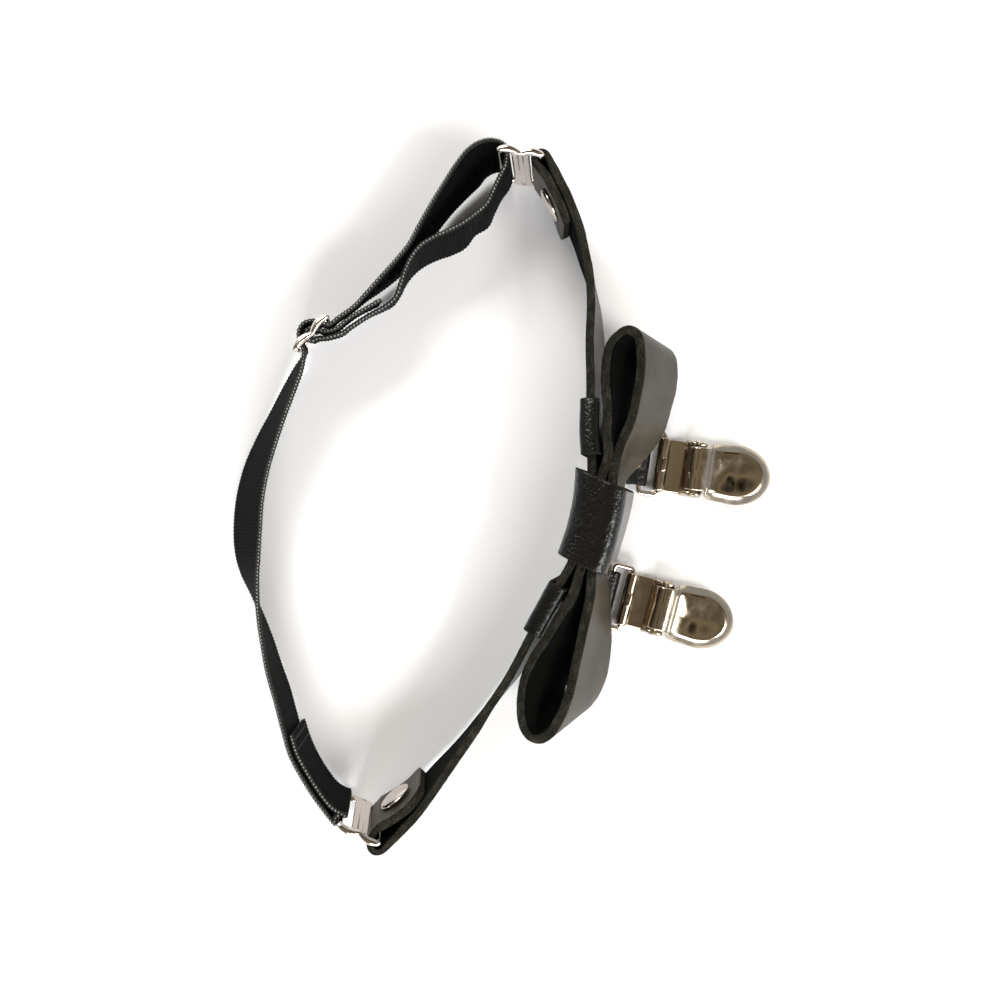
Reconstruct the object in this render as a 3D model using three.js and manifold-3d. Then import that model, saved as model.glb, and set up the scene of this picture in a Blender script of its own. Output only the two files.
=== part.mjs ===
// Thigh harness: a leather front strap with a bow, an adjustable elastic back and two garter clips.
// It stands on its strap edges with the worn-top edge up, and the two clips lie on the surface in front.
// Millimetres, +Z up, front (the bow) towards -Y. Left and right are seen from the front, so +X is right.
// Going round the loop from the front strap over +X, "out" is always on the right-hand side.
import * as THREE from 'three';
import { mergeVertices } from 'three/addons/utils/BufferGeometryUtils.js';
import Module from 'manifold-3d';

const wasm = await Module();
wasm.setup();

const GAP = 0.35;
const STRAP = { width: 20, thick: 2.3, skived: 1.8 };
const BOW = { width: 20, thick: 2.6 };
const KNOT = {
  from: 90.4,
  to: 113.9,
  wall: 1.9,
  slack: 0.6,
  slackInside: 1.5,
  corner: 4.2,
  skewLeft: 0.04,
  skewRight: 0.38,
};
const ELASTIC = { width: 19, thick: 1.15 };
const BUCKLE = { barRadius: 0.65, railRadius: 1.05, plateFrom: 0.6, plateTo: 2.5, plateThick: 1.3 };
const HANGER = { width: 15, thick: 1.2, tailShare: 0.93 };
const STRAP_RIVET = { capRadius: 4.85, capHeight: 1.1, postRadius: 1.5 };
const HANGER_RIVET = { capRadius: 2.8, capHeight: 0.8, postRadius: 1.0, upTail: 4.7 };
const RING = { wire: 1.6, length: 19.8, barGap: 5.9, corner: 1.3, nearBarUp: 2.6 };
const CLIP = { width: 15.5, sheet: 0.9, rollRadius: 1.9, jawTo: 28, jawHalf: 6.6 };
const EAR = { from: 6.3, to: 12.4, top: 5.4, inner: 7.5, leanIn: 0.17 };
const PIVOT = { along: 9.4, up: 3.9, pin: 0.85, hole: 1.2 };
const LEVER = { half: 6.3, knuckle: 2.3, sheet: 0.9, rimFrom: 0.74, rimDrop: 1.9 };

const BUCKLE_LIFT = 2 * BUCKLE.railRadius + 0.3;
const RAIL_UP = BUCKLE_LIFT + STRAP.width + 0.3 + BUCKLE.railRadius;

// Middle of the harness as the tables place it: the finished part stands with this point over its origin.
const MIDDLE = { x: 1.17, y: -10.29 };

// The three double-loop buckles: middle of each, heading of the way round the loop, and lean of the foot.
const RIGHT_CONNECTOR = { x: 92.7, y: -14.95, heading: 82.4, kickX: 0, kickY: -2.2, barAt: 5.6 };
const LEFT_CONNECTOR = { x: -88.95, y: 28.35, heading: -115.1, kickX: 0.8, kickY: 1.2, barAt: 5.6 };
const SLIDER = { x: 44.8, y: 41.3, heading: 135.6, kickX: 2.9, kickY: 2.6, barAt: 6.0 };

// The two clips: middle of the rolled end on its ring, and the heading from there to the tip.
// The hanger of each sits over the strap at hangsAt, a length along it, and comes down to the ring at a slope.
const RIGHT_CLIP = { x: 10.4, y: -57.3, heading: -98.5, hangsAt: 126.5, slope: 39 };
const LEFT_CLIP = { x: -28.9, y: -47.2, heading: -104.6, hangsAt: 75.3, slope: 32 };

const radians = THREE.MathUtils.degToRad;
const vec = (x, y, z) => new THREE.Vector3(x, y, z);

function paint(color, roughness, metalness) {
  return new THREE.MeshStandardMaterial({ color, roughness, metalness });
}

const blackLeather = () => paint(0x2b2925, 0.6, 0);
const glossyLeather = () => paint(0x191917, 0.3, 0);
const blackElastic = () => paint(0x121211, 0.85, 0);
const nickel = () => paint(0xd9d3cb, 0.18, 1);
const warmNickel = () => paint(0xb3a894, 0.2, 1);

function namedMesh(name, geometry, material) {
  geometry.computeVertexNormals();
  const mesh = new THREE.Mesh(geometry, material);
  mesh.name = name;
  return mesh;
}

// Closed body from corner loops of equal length; joined end to end, or capped at both ends.
function loft(loops, endToEnd = false) {
  const corners = loops[0].length;
  const points = loops.flat();
  const index = [];
  const spans = endToEnd ? loops.length : loops.length - 1;
  for (let i = 0; i < spans; i += 1) {
    const here = i * corners;
    const there = ((i + 1) % loops.length) * corners;
    for (let k = 0; k < corners; k += 1) {
      const next = (k + 1) % corners;
      index.push(here + k, here + next, there + next);
      index.push(here + k, there + next, there + k);
    }
  }
  if (!endToEnd) {
    const last = (loops.length - 1) * corners;
    for (let k = 1; k < corners - 1; k += 1) {
      index.push(0, k + 1, k);
      index.push(last, last + k, last + k + 1);
    }
  }
  return facingOut(points, index);
}

function facingOut(points, index) {
  let volume = 0;
  for (let i = 0; i < index.length; i += 3) {
    const [a, b, c] = [points[index[i]], points[index[i + 1]], points[index[i + 2]]];
    volume += a.dot(vec().crossVectors(b, c));
  }
  if (volume < 0) {
    index.reverse();
  }
  const geometry = new THREE.BufferGeometry();
  geometry.setAttribute('position', new THREE.Float32BufferAttribute(points.flatMap((p) => p.toArray()), 3));
  geometry.setIndex(index);
  return geometry;
}

function toSolid(geometry) {
  const bare = geometry.clone();
  bare.deleteAttribute('normal');
  bare.deleteAttribute('uv');
  const merged = mergeVertices(bare, 1e-4);
  const vertProperties = new Float32Array(merged.attributes.position.array);
  const triVerts = new Uint32Array(merged.index.array);
  return new wasm.Manifold(new wasm.Mesh({ numProp: 3, vertProperties, triVerts }));
}

function fromSolid(solid) {
  const { vertProperties, triVerts } = solid.getMesh();
  const geometry = new THREE.BufferGeometry();
  geometry.setAttribute('position', new THREE.Float32BufferAttribute(vertProperties, 3));
  geometry.setIndex(Array.from(triVerts));
  return geometry;
}

function joined(geometries) {
  return fromSolid(geometries.map(toSolid).reduce((whole, next) => whole.add(next)));
}

function cutBy(geometry, tools) {
  return fromSolid(tools.map(toSolid).reduce((whole, tool) => whole.subtract(tool), toSolid(geometry)));
}

// Flat bands
// A row of a band: where its upper edge (the rim) runs, how far the lower edge stands from under it
// (the kick), how high the lower edge is, and the thickness where it isn't the band's own.
function readRows(table, spec) {
  return table.map(([x, y, kickX, kickY, lift, thick = spec.thick]) => {
    const drop = Math.sqrt(spec.width ** 2 - kickX ** 2 - kickY ** 2);
    return { rim: vec(x, y, lift + drop), foot: vec(x + kickX, y + kickY, lift), thick };
  });
}

// Side of a band that faces out of the loop, for a way along it and a direction from rim to foot.
function outSide(way, down) {
  return vec().crossVectors(down, way).normalize();
}

// Band along lines of points, from its rim to its foot; thicks has one thickness for each station.
function bandAlong(lines, thicks, endToEnd = false) {
  const count = thicks.length;
  const last = lines.length - 1;
  const loops = thicks.map((thick, i) => {
    const before = endToEnd ? (i + count - 1) % count : Math.max(i - 1, 0);
    const after = endToEnd ? (i + 1) % count : Math.min(i + 1, count - 1);
    const down = lines[last][i].clone().sub(lines[0][i]).normalize();
    const halves = lines.map((line) => {
      const way = line[after].clone().sub(line[before]).normalize();
      return outSide(way, down).multiplyScalar(thick / 2);
    });
    const outer = lines.map((line, k) => line[i].clone().add(halves[k]));
    const inner = lines.map((line, k) => line[i].clone().sub(halves[k]));
    return [...outer, ...inner.reverse()];
  });
  return loft(loops, endToEnd);
}

function curveThrough(points, endToEnd = false) {
  return new THREE.CatmullRomCurve3(points, endToEnd, 'centripetal');
}

function smoothed(points, perRow, endToEnd = false) {
  const curve = curveThrough(points, endToEnd);
  const spans = (endToEnd ? points.length : points.length - 1) * perRow;
  const count = endToEnd ? spans : spans + 1;
  return Array.from({ length: count }, (_, i) => curve.getPoint(i / spans));
}

function band(rows, perRow, endToEnd = false) {
  const rims = smoothed(rows.map((row) => row.rim), perRow, endToEnd);
  const feet = smoothed(rows.map((row) => row.foot), perRow, endToEnd);
  const thicks = smoothed(rows.map((row) => vec(row.thick, 0, 0)), perRow, endToEnd).map((p) => p.x);
  return bandAlong([rims, feet], thicks, endToEnd);
}

// A row of a band at a buckle: along the way round the loop from its middle, and out of the loop.
function beside(buckle, along, out, spec, thick = spec.thick) {
  const turn = radians(buckle.heading);
  const x = buckle.x + along * Math.cos(turn) + out * Math.sin(turn);
  const y = buckle.y + along * Math.sin(turn) - out * Math.cos(turn);
  const lift = BUCKLE_LIFT + (STRAP.width - spec.width) / 2;
  return readRows([[x, y, buckle.kickX, buckle.kickY, lift, thick]], spec)[0];
}

// Rows of a band that turns round one bar of a buckle, from one direction off the bar to another.
function roundBar(buckle, side, radius, fromDegrees, toDegrees, steps, spec, thick) {
  return Array.from({ length: steps + 1 }, (_, i) => {
    const angle = radians(THREE.MathUtils.lerp(fromDegrees, toDegrees, i / steps) - buckle.heading);
    const along = side * buckle.barAt + radius * Math.cos(angle);
    return beside(buckle, along, -radius * Math.sin(angle), spec, thick);
  });
}

// Front strap
// Run of the strap from the left connector, under the hangers and the knot, to the right connector.
const STRAP_RUN = [
  // x, y, kickX, kickY, lift, thick
  [-91.8, 19.5, 0.9, 1.2, 2.3, 2.0],
  [-87.7, 15.6, 0.9, 1.2, 2.3],
  [-84.7, 12.9, 0.8, 1.0, 2.2],
  [-79.3, 8.9, 0.4, 0.5, 2.0],
  [-70.3, 2.7, -0.7, -1.0, 1.7],
  [-61.8, -3.1, -1.2, -1.9, 1.6],
  [-56.4, -6.3, -1.5, -2.6, 1.6],
  [-49.7, -10.7, -1.9, -3.5, 2.0],
  [-44.2, -13.7, -1.9, -4.5, 2.9],
  [-35.1, -18.2, -1.2, -5.0, 4.4],
  [-29.1, -21.3, -0.6, -5.2, 5.6],
  [-23.1, -24.4, 0.0, -5.2, 6.8],
  [-17.3, -27.7, 0.2, -5.1, 7.4],
  [-9.2, -30.5, 0.1, -5.3, 7.9],
  [0.0, -32.5, -0.2, -5.6, 8.2],
  [8.7, -33.3, -0.6, -5.9, 8.1],
  [17.9, -32.9, -1.2, -6.6, 7.5],
  [26.2, -33.2, -1.7, -7.2, 6.9],
  [33.2, -33.4, -1.6, -7.6, 5.5],
  [43.0, -33.5, -0.8, -6.3, 3.2],
  [53.7, -34.0, 0.0, -4.8, 1.9],
  [61.9, -33.5, 0.4, -3.4, 1.6],
  [68.3, -32.2, 0.6, -2.4, 1.6],
  [73.5, -31.0, 0.4, -1.9, 1.8],
  [78.4, -29.2, 0.1, -1.8, 2.0],
  [82.8, -27.3, 0.0, -2.1, 2.2],
  [86.7, -25.3, 0.0, -2.2, 2.3],
  [89.2, -24.0, 0.0, -2.2, 2.4],
  [91.0, -23.1, 0.0, -2.2, 2.4, 2.0],
];

// Folded ends of the strap: length from the fold, distance between the middles of the two layers, and
// what the rounded corners take off both edges. The left fold is loose round its bar, the right one tight.
const LEFT_FLAP = [
  // fromFold, apart, trim
  [0.6, 4.9, 0.0],
  [2.4, 4.4, 0.0],
  [5.6, 3.5, 0.0],
  [10.0, 2.8, 0.0],
  [13.4, 2.65, 0.0],
  [14.8, 2.65, 0.7],
  [15.4, 2.65, 2.4],
];

const RIGHT_FLAP = [
  // fromFold, apart, trim
  [0.6, 3.1, 0.0],
  [2.4, 2.7, 0.0],
  [6.0, 2.65, 0.0],
  [10.0, 2.65, 0.0],
  [13.8, 2.65, 0.0],
  [15.4, 2.65, 0.6],
  [16.1, 2.65, 2.4],
];

// The rivet through each flap: length from the fold, how far apart the layers' middles are there, how much
// longer than the grip its post is, and how far it leans to stand square between two layers that part.
const LEFT_RIVET = { fromFold: 5.8, apart: 3.45, spare: 1.1, lean: 0.14 };
const RIGHT_RIVET = { fromFold: 7.2, apart: 2.65, spare: 0.3, lean: 0 };

// Loose fold from the left flap round the connector's bar to the run: along the connector, out from it.
const LEFT_FOLD = [
  [4.2, -2.1],
  [3.75, -0.9],
  [3.65, 0.6],
  [3.95, 2.1],
  [4.9, 3.3],
  [6.3, 3.6],
  [7.6, 2.7],
];

const strapRun = readRows(STRAP_RUN, STRAP);
const rimCurve = curveThrough(strapRun.map((row) => row.rim));
const footCurve = curveThrough(strapRun.map((row) => row.foot));
const RUN_LENGTH = rimCurve.getLength();

// The strap's section at a length along its run.
function strapAt(length) {
  const t = rimCurve.getUtoTmapping(length / RUN_LENGTH);
  const rim = rimCurve.getPoint(t);
  const foot = footCurve.getPoint(t);
  const way = rimCurve.getTangent(t).add(footCurve.getTangent(t)).normalize();
  const down = foot.clone().sub(rim).normalize();
  return { rim, foot, way, down, out: outSide(way, down) };
}

// A row of a band that lies against the strap, its middle at a distance out from the strap's.
function laidOn(length, distance, spec, trim = 0) {
  const { rim, foot, down, out } = strapAt(length);
  rim.addScaledVector(out, distance).addScaledVector(down, trim);
  foot.addScaledVector(out, distance).addScaledVector(down, -trim);
  return { rim, foot, thick: spec.thick };
}

const FOLD_RADIUS = BUCKLE.barRadius + 0.35 + STRAP.skived / 2;

function strapRows() {
  const leftFlap = LEFT_FLAP.map(([fromFold, apart, trim]) => laidOn(fromFold, -apart, STRAP, trim));
  const rightFlap = RIGHT_FLAP.map(([fromFold, apart, trim]) => laidOn(RUN_LENGTH - fromFold, -apart, STRAP, trim));
  return [
    ...leftFlap.reverse(),
    ...LEFT_FOLD.map(([along, out]) => beside(LEFT_CONNECTOR, along, out, STRAP, STRAP.skived)),
    ...strapRun,
    ...roundBar(RIGHT_CONNECTOR, -1, FOLD_RADIUS, -63, 117, 8, STRAP, STRAP.skived),
    ...rightFlap,
  ];
}

// Rivets
// Where a rivet goes through: middle of the grip, the way its outer cap faces, and the grip's thickness.
function strapRivetSeat(length, { apart, spare, lean }) {
  const { rim, foot, way, out } = strapAt(length);
  const at = rim.add(foot).multiplyScalar(0.5).addScaledVector(out, -apart / 2);
  return { at, faces: out.clone().addScaledVector(way, -lean), grip: apart + STRAP.thick + spare };
}

// Double-cap rivet, domed at both ends, as one turned body.
function rivetProfile(spec, grip) {
  const seat = grip / 2 + 0.35;
  const cap = [
    [spec.postRadius, seat],
    [spec.capRadius, seat],
    [spec.capRadius, seat + 0.35],
    [spec.capRadius * 0.72, seat + spec.capHeight * 0.85],
    [0, seat + spec.capHeight],
  ];
  const lower = cap.map(([radius, up]) => new THREE.Vector2(radius, -up)).reverse();
  const upper = cap.map(([radius, up]) => new THREE.Vector2(radius, up));
  return [...lower, ...upper];
}

function seated(object, seat) {
  object.position.copy(seat.at);
  object.quaternion.setFromUnitVectors(vec(0, 1, 0), seat.faces.clone().normalize());
  return object;
}

function rivet(name, spec, seat) {
  return seated(namedMesh(name, new THREE.LatheGeometry(rivetProfile(spec, seat.grip), 16), nickel()), seat);
}

function rivetHole(spec, seat) {
  const drill = new THREE.CylinderGeometry(spec.postRadius + 0.3, spec.postRadius + 0.3, 14, 12);
  const holder = seated(new THREE.Object3D(), seat);
  holder.updateMatrix();
  return drill.applyMatrix4(holder.matrix);
}

// Buckles
// Half of a rail's shape from its tip to the pinch in the middle: along, out, radius.
const RAIL_HALF = [
  [-1.0, 0.1, 0.42],
  [-0.93, 0.25, 0.7],
  [-0.78, 0.55, 0.92],
  [-0.52, 0.8, 1.0],
  [-0.25, 0.5, 0.88],
  [0.0, 0.0, 0.66],
];

function rail(up, tipAt) {
  const mirrored = RAIL_HALF.slice(0, -1).reverse().map(([along, out, size]) => [-along, out, size]);
  const loops = [...RAIL_HALF, ...mirrored].map(([along, out, size]) => {
    const radius = size * BUCKLE.railRadius;
    return Array.from({ length: 10 }, (_, k) => {
      const angle = (k / 10) * 2 * Math.PI;
      return vec(along * tipAt, -out + radius * Math.cos(angle), up + radius * Math.sin(angle));
    });
  });
  return loft(loops);
}

function buckleBox(from, to, thick, out) {
  const height = RAIL_UP - BUCKLE.railRadius;
  const geometry = new THREE.BoxGeometry(to - from, thick, height);
  return geometry.translate((from + to) / 2, -out, BUCKLE.railRadius + height / 2);
}

function buckleBar(along) {
  const height = RAIL_UP - BUCKLE.railRadius;
  const geometry = new THREE.CylinderGeometry(BUCKLE.barRadius, BUCKLE.barRadius, height, 10);
  return geometry.rotateX(Math.PI / 2).translate(along, 0, BUCKLE.railRadius + height / 2);
}

function buckle(name, place, middleParts) {
  const tipAt = place.barAt + 0.7;
  const rails = [rail(BUCKLE.railRadius, tipAt), rail(RAIL_UP, tipAt)];
  const geometry = joined([...rails, buckleBar(-place.barAt), buckleBar(place.barAt), ...middleParts]);
  // The foot of a leaning buckle stands out from under its upper rail, so the body is sheared with it.
  const turn = radians(place.heading);
  const fall = Math.sqrt(STRAP.width ** 2 - place.kickX ** 2 - place.kickY ** 2);
  const leanX = -place.kickX / fall;
  const leanY = -place.kickY / fall;
  const along = leanX * Math.cos(turn) + leanY * Math.sin(turn);
  const across = -leanX * Math.sin(turn) + leanY * Math.cos(turn);
  const lean = new THREE.Matrix4().set(1, 0, along, 0, 0, 1, across, 0, 0, 0, 1, 0, 0, 0, 0, 1);
  const rimUp = BUCKLE_LIFT + fall;
  geometry.translate(0, 0, -rimUp).applyMatrix4(lean).translate(0, 0, rimUp);
  const mesh = namedMesh(name, geometry, nickel());
  mesh.position.set(place.x, place.y, 0);
  mesh.rotation.z = turn;
  return mesh;
}

// A connector has two flat inner bars with a thinner web between them; the slider has one round bar.
function connector(name, place) {
  const { plateFrom, plateTo, plateThick } = BUCKLE;
  return buckle(name, place, [
    buckleBox(plateFrom, plateTo, plateThick, 0),
    buckleBox(-plateTo, -plateFrom, plateThick, 0),
    buckleBox(-plateFrom - 0.1, plateFrom + 0.1, 0.7, 0.1),
  ]);
}

// Elastic back
// Sewn tail between the two upper layers, from its cut end to the slider.
const SEWN_TAIL = [
  // x, y, kickX, kickY, lift
  [54.3, 22.6, 2.9, 2.6, 1.9],
  [52.5, 25.7, 3.0, 2.7, 2.1],
  [50.8, 28.6, 3.1, 2.7, 2.3],
  [48.8, 31.7, 2.9, 2.6, 2.5],
];

// Round the slider's middle bar: along, out. The tail goes over the bar and comes back as the inner layer.
const TAIL_IN_SLIDER = [
  [-6.0, -3.75],
  [-3.1, -2.1],
  [-1.62, 0.3],
  [-0.85, 1.47],
  [0.55, 1.62],
  [1.65, 0.4],
  [1.2, -1.2],
  [-0.2, -1.85],
  [-2.8, -3.9],
  [-6.0, -5.6],
];

// Inner layer, from the slider to the right connector.
const INNER_LAYER = [
  // x, y, kickX, kickY, lift
  [46.8, 30.9, 3.0, 2.7, 2.5],
  [48.7, 28.1, 3.1, 2.7, 2.3],
  [50.6, 25.0, 3.1, 2.8, 2.1],
  [52.5, 21.7, 2.8, 2.6, 1.9],
  [55.1, 18.8, 2.0, 2.3, 1.7],
  [58.9, 17.4, 0.9, 1.8, 1.7],
  [62.9, 16.1, 0.5, 1.2, 1.6],
  [66.4, 14.3, 0.2, 0.3, 1.6],
  [69.3, 11.9, -0.5, -0.4, 1.6],
  [71.6, 8.2, -1.0, -0.6, 1.6],
  [73.2, 4.6, -1.4, -0.6, 1.6],
  [75.2, 0.6, -1.4, -0.5, 1.8],
  [77.5, -2.7, -0.3, 0.2, 2.0],
  [80.2, -5.8, -0.4, -0.7, 2.2],
  [83.5, -7.5, -0.3, -0.6, 2.4],
  [87.3, -9.3, -0.1, -0.8, 2.7],
  [90.4, -10.8, 0.0, -1.6, 2.9],
];

// Loose turn round the right connector's bar, then the outer layer back to the slider.
const OUTER_LAYER = [
  // x, y, kickX, kickY, lift
  [92.6, -11.1, 0.0, -2.2, 2.9],
  [94.3, -11.3, -0.1, -2.0, 2.9],
  [96.1, -10.4, -0.6, -1.2, 2.8],
  [97.3, -8.2, -1.8, -0.4, 2.6],
  [97.4, -4.8, -3.6, -0.8, 2.3],
  [95.6, -1.1, -3.9, -2.9, 2.0],
  [91.5, 2.3, -2.5, -3.4, 1.8],
  [85.8, 5.9, -1.5, -2.3, 1.6],
  [80.0, 9.4, -1.0, -1.5, 1.6],
  [74.3, 12.6, -0.5, -0.8, 1.6],
  [69.4, 15.2, 0.0, 0.0, 1.6],
  [64.6, 19.1, 0.5, 0.6, 1.7],
  [60.4, 22.8, 1.2, 1.3, 1.9],
  [55.8, 26.8, 2.4, 2.2, 2.2],
  [52.4, 29.9, 2.9, 2.6, 2.5],
];

const OUTER_IN_SLIDER = [
  [-7.6, -1.95],
  [-6.0, -1.8],
  [-4.7, -1.25],
  [-4.05, 0.1],
  [-3.1, 1.9],
  [-1.6, 3.2],
  [0.0, 3.6],
  [1.6, 3.2],
  [3.1, 1.9],
  [4.05, 0.1],
  [4.75, -1.5],
];

// Lower run: it leans in at its rim beside the thigh, then twists upright again before the left connector.
const LOWER_RUN = [
  // x, y, kickX, kickY, lift
  [35.9, 44.2, 2.3, 5.3, 2.2],
  [30.4, 46.2, 2.5, 6.4, 1.8],
  [22.9, 49.2, 2.7, 7.3, 1.4],
  [16.2, 51.6, 2.7, 8.6, 1.2],
  [8.0, 54.2, 2.0, 10.0, 1.0],
  [-0.3, 55.8, 0.9, 10.8, 0.9],
  [-8.5, 56.4, 0.0, 11.0, 0.9],
  [-15.4, 56.7, -0.5, 10.2, 0.9],
  [-21.1, 56.8, -0.4, 8.4, 1.0],
  [-26.2, 56.6, -0.5, 6.0, 1.0],
  [-31.6, 56.2, -0.6, 3.8, 1.1],
  [-39.7, 55.0, -0.5, 1.7, 1.2],
  [-47.5, 53.5, -0.2, 0.6, 1.4],
  [-54.8, 51.4, 0.0, 0.1, 1.6],
  [-61.8, 49.5, 0.0, 0.0, 1.9],
  [-69.4, 47.2, 0.0, 0.0, 2.1],
  [-75.2, 44.0, 0.2, 0.5, 2.4],
  [-80.9, 40.3, 0.6, 1.0, 2.7],
];

// End folded back on the inner side of the lower run and sewn down.
const SEWN_FOLD = [
  // x, y, kickX, kickY, lift
  [-83.2, 35.9, 0.8, 1.2, 2.9],
  [-80.0, 38.7, 0.6, 1.0, 2.7],
  [-74.3, 42.5, 0.2, 0.6, 2.4],
  [-68.7, 45.6, 0.0, 0.0, 2.2],
  [-63.8, 47.2, 0.0, 0.0, 2.0],
];

const ELASTIC_TURN_RADIUS = BUCKLE.barRadius + 0.6 + ELASTIC.thick / 2;

function threaded(table) {
  return table.map(([along, out]) => beside(SLIDER, along, out, ELASTIC));
}

function elasticRows() {
  const leftTurn = roundBar(LEFT_CONNECTOR, -1, ELASTIC_TURN_RADIUS, 126, -50, 7, ELASTIC);
  return [
    ...readRows(SEWN_TAIL, ELASTIC),
    ...threaded(TAIL_IN_SLIDER),
    ...readRows(INNER_LAYER, ELASTIC),
    ...readRows(OUTER_LAYER, ELASTIC),
    ...threaded(OUTER_IN_SLIDER),
    ...readRows(LOWER_RUN, ELASTIC),
    ...leftTurn,
    ...readRows(SEWN_FOLD, ELASTIC),
  ];
}

// Bow
// Loops of the bow, from the outer leaf of the knot's left end round to the outer leaf of its right end.
const LEFT_LOOP = [
  // x, y, kickX, kickY, lift
  [-24.8, -32.7, 0.6, -7.0, 10.4],
  [-33.2, -31.2, 1.2, -9.0, 9.7],
  [-42.2, -29.4, 2.0, -11.0, 9.8],
  [-53.0, -27.0, 3.0, -12.0, 9.7],
  [-59.6, -24.2, 3.6, -11.9, 9.4],
  [-62.6, -22.0, 4.1, -11.7, 9.2],
  [-63.9, -19.4, 4.5, -11.6, 9.1],
  [-63.2, -17.0, 4.6, -11.7, 9.1],
  [-60.6, -15.3, 4.4, -12.0, 9.2],
  [-56.4, -14.6, 3.9, -12.4, 9.4],
  [-51.2, -14.8, 3.3, -12.8, 9.6],
  [-46.5, -15.9, 2.8, -12.9, 9.8],
  [-42.1, -17.9, 2.4, -12.8, 10.1],
  [-37.1, -21.1, 1.9, -12.2, 10.4],
  [-31.2, -24.4, 1.3, -10.6, 10.5],
  [-25.4, -27.9, 0.7, -8.4, 10.2],
];

const RIGHT_LOOP = [
  // x, y, kickX, kickY, lift
  [17.2, -37.1, -1.6, -9.4, 10.7],
  [24.4, -37.3, -2.1, -10.8, 10.8],
  [32.6, -36.9, -2.8, -11.9, 10.2],
  [41.2, -38.3, -3.2, -12.4, 9.6],
  [44.1, -40.6, -3.3, -12.5, 9.3],
  [45.5, -43.0, -3.3, -12.6, 9.2],
  [44.9, -45.0, -3.3, -12.7, 9.2],
  [43.2, -46.2, -3.3, -12.7, 9.2],
  [39.4, -46.7, -3.2, -12.6, 9.4],
  [34.2, -46.5, -3.0, -12.3, 9.7],
  [28.8, -45.5, -2.8, -11.8, 10.2],
  [20.6, -43.4, -2.3, -11.2, 11.2],
  [13.6, -40.4, -1.6, -9.4, 10.6],
];

const INNER_LEAF_AT = STRAP.thick / 2 + GAP + BOW.thick / 2;
const OUTER_LEAF_AT = INNER_LEAF_AT + BOW.thick + GAP;

// Leaves of the bow in the knot and where they leave it: length along the strap, distance out from it.
const OUTER_LEAF = [
  [113.4, OUTER_LEAF_AT],
  [106.0, OUTER_LEAF_AT],
  [98.5, OUTER_LEAF_AT],
  [94.0, OUTER_LEAF_AT],
  [90.3, OUTER_LEAF_AT],
];
const INNER_LEAF = [
  [90.3, INNER_LEAF_AT],
  [94.0, INNER_LEAF_AT],
  [98.5, INNER_LEAF_AT],
  [106.0, INNER_LEAF_AT],
  [113.4, INNER_LEAF_AT],
  [118.4, INNER_LEAF_AT + 1.65],
];

function bowRows() {
  return [
    ...OUTER_LEAF.map(([length, distance]) => laidOn(length, distance, BOW)),
    ...readRows(LEFT_LOOP, BOW),
    ...INNER_LEAF.map(([length, distance]) => laidOn(length, distance, BOW)),
    ...readRows(RIGHT_LOOP, BOW),
  ];
}

// Knot: a sleeve round the strap and both leaves.
function roundedLoop(centre, across, down, halfAcross, halfDown, corner) {
  const loop = [];
  const corners = [
    [1, 1, 0],
    [-1, 1, 90],
    [-1, -1, 180],
    [1, -1, 270],
  ];
  for (const [signAcross, signDown, start] of corners) {
    for (let step = 0; step <= 4; step += 1) {
      const angle = radians(start + (step / 4) * 90);
      const a = signAcross * (halfAcross - corner) + corner * Math.cos(angle);
      const d = signDown * (halfDown - corner) + corner * Math.sin(angle);
      loop.push(centre.clone().addScaledVector(across, a).addScaledVector(down, d));
    }
  }
  return loop;
}

function knotGeometry() {
  const stack = STRAP.thick + 2 * BOW.thick + 2 * GAP;
  const halfAcross = (stack + KNOT.slack + KNOT.slackInside) / 2;
  const middleOut = (stack - STRAP.thick + KNOT.slack - KNOT.slackInside) / 2;
  const halfDown = STRAP.width / 2 + KNOT.slack;
  const innerLoops = [];
  const outerLoops = [];
  for (const share of [0, 0.25, 0.5, 0.75, 1]) {
    const { rim, foot, way, down, out } = strapAt(THREE.MathUtils.lerp(KNOT.from, KNOT.to, share));
    // The ends aren't square to the strap: the outer face sits further left than the inner one.
    const skewed = out.clone().addScaledVector(way, -THREE.MathUtils.lerp(KNOT.skewLeft, KNOT.skewRight, share));
    const centre = rim.add(foot).multiplyScalar(0.5).addScaledVector(skewed, middleOut);
    innerLoops.push(roundedLoop(centre, skewed, down, halfAcross, halfDown, 0.8));
    outerLoops.push(roundedLoop(centre, skewed, down, halfAcross + KNOT.wall, halfDown + KNOT.wall, KNOT.corner));
  }
  return loft([...outerLoops, ...innerLoops.reverse()], true);
}

// Clip hangers
// A point in a clip's frame: along its long way from the rolled end, aside, up.
function clipPoint(clip, along, aside, up) {
  const turn = radians(clip.heading);
  const x = clip.x + along * Math.cos(turn) - aside * Math.sin(turn);
  const y = clip.y + along * Math.sin(turn) + aside * Math.cos(turn);
  return vec(x, y, up);
}

// A point on the hanger's tail: aside from its middle, up the slope from the ring's bar, out from its plane.
function tailPoint(clip, aside, upTail, out) {
  const slope = radians(clip.slope);
  const along = -RING.barGap - upTail * Math.cos(slope) + out * Math.sin(slope);
  return clipPoint(clip, along, aside, RING.nearBarUp + upTail * Math.sin(slope) + out * Math.cos(slope));
}

const TAIL_LEAF = HANGER.thick / 2 + 0.2;

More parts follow.
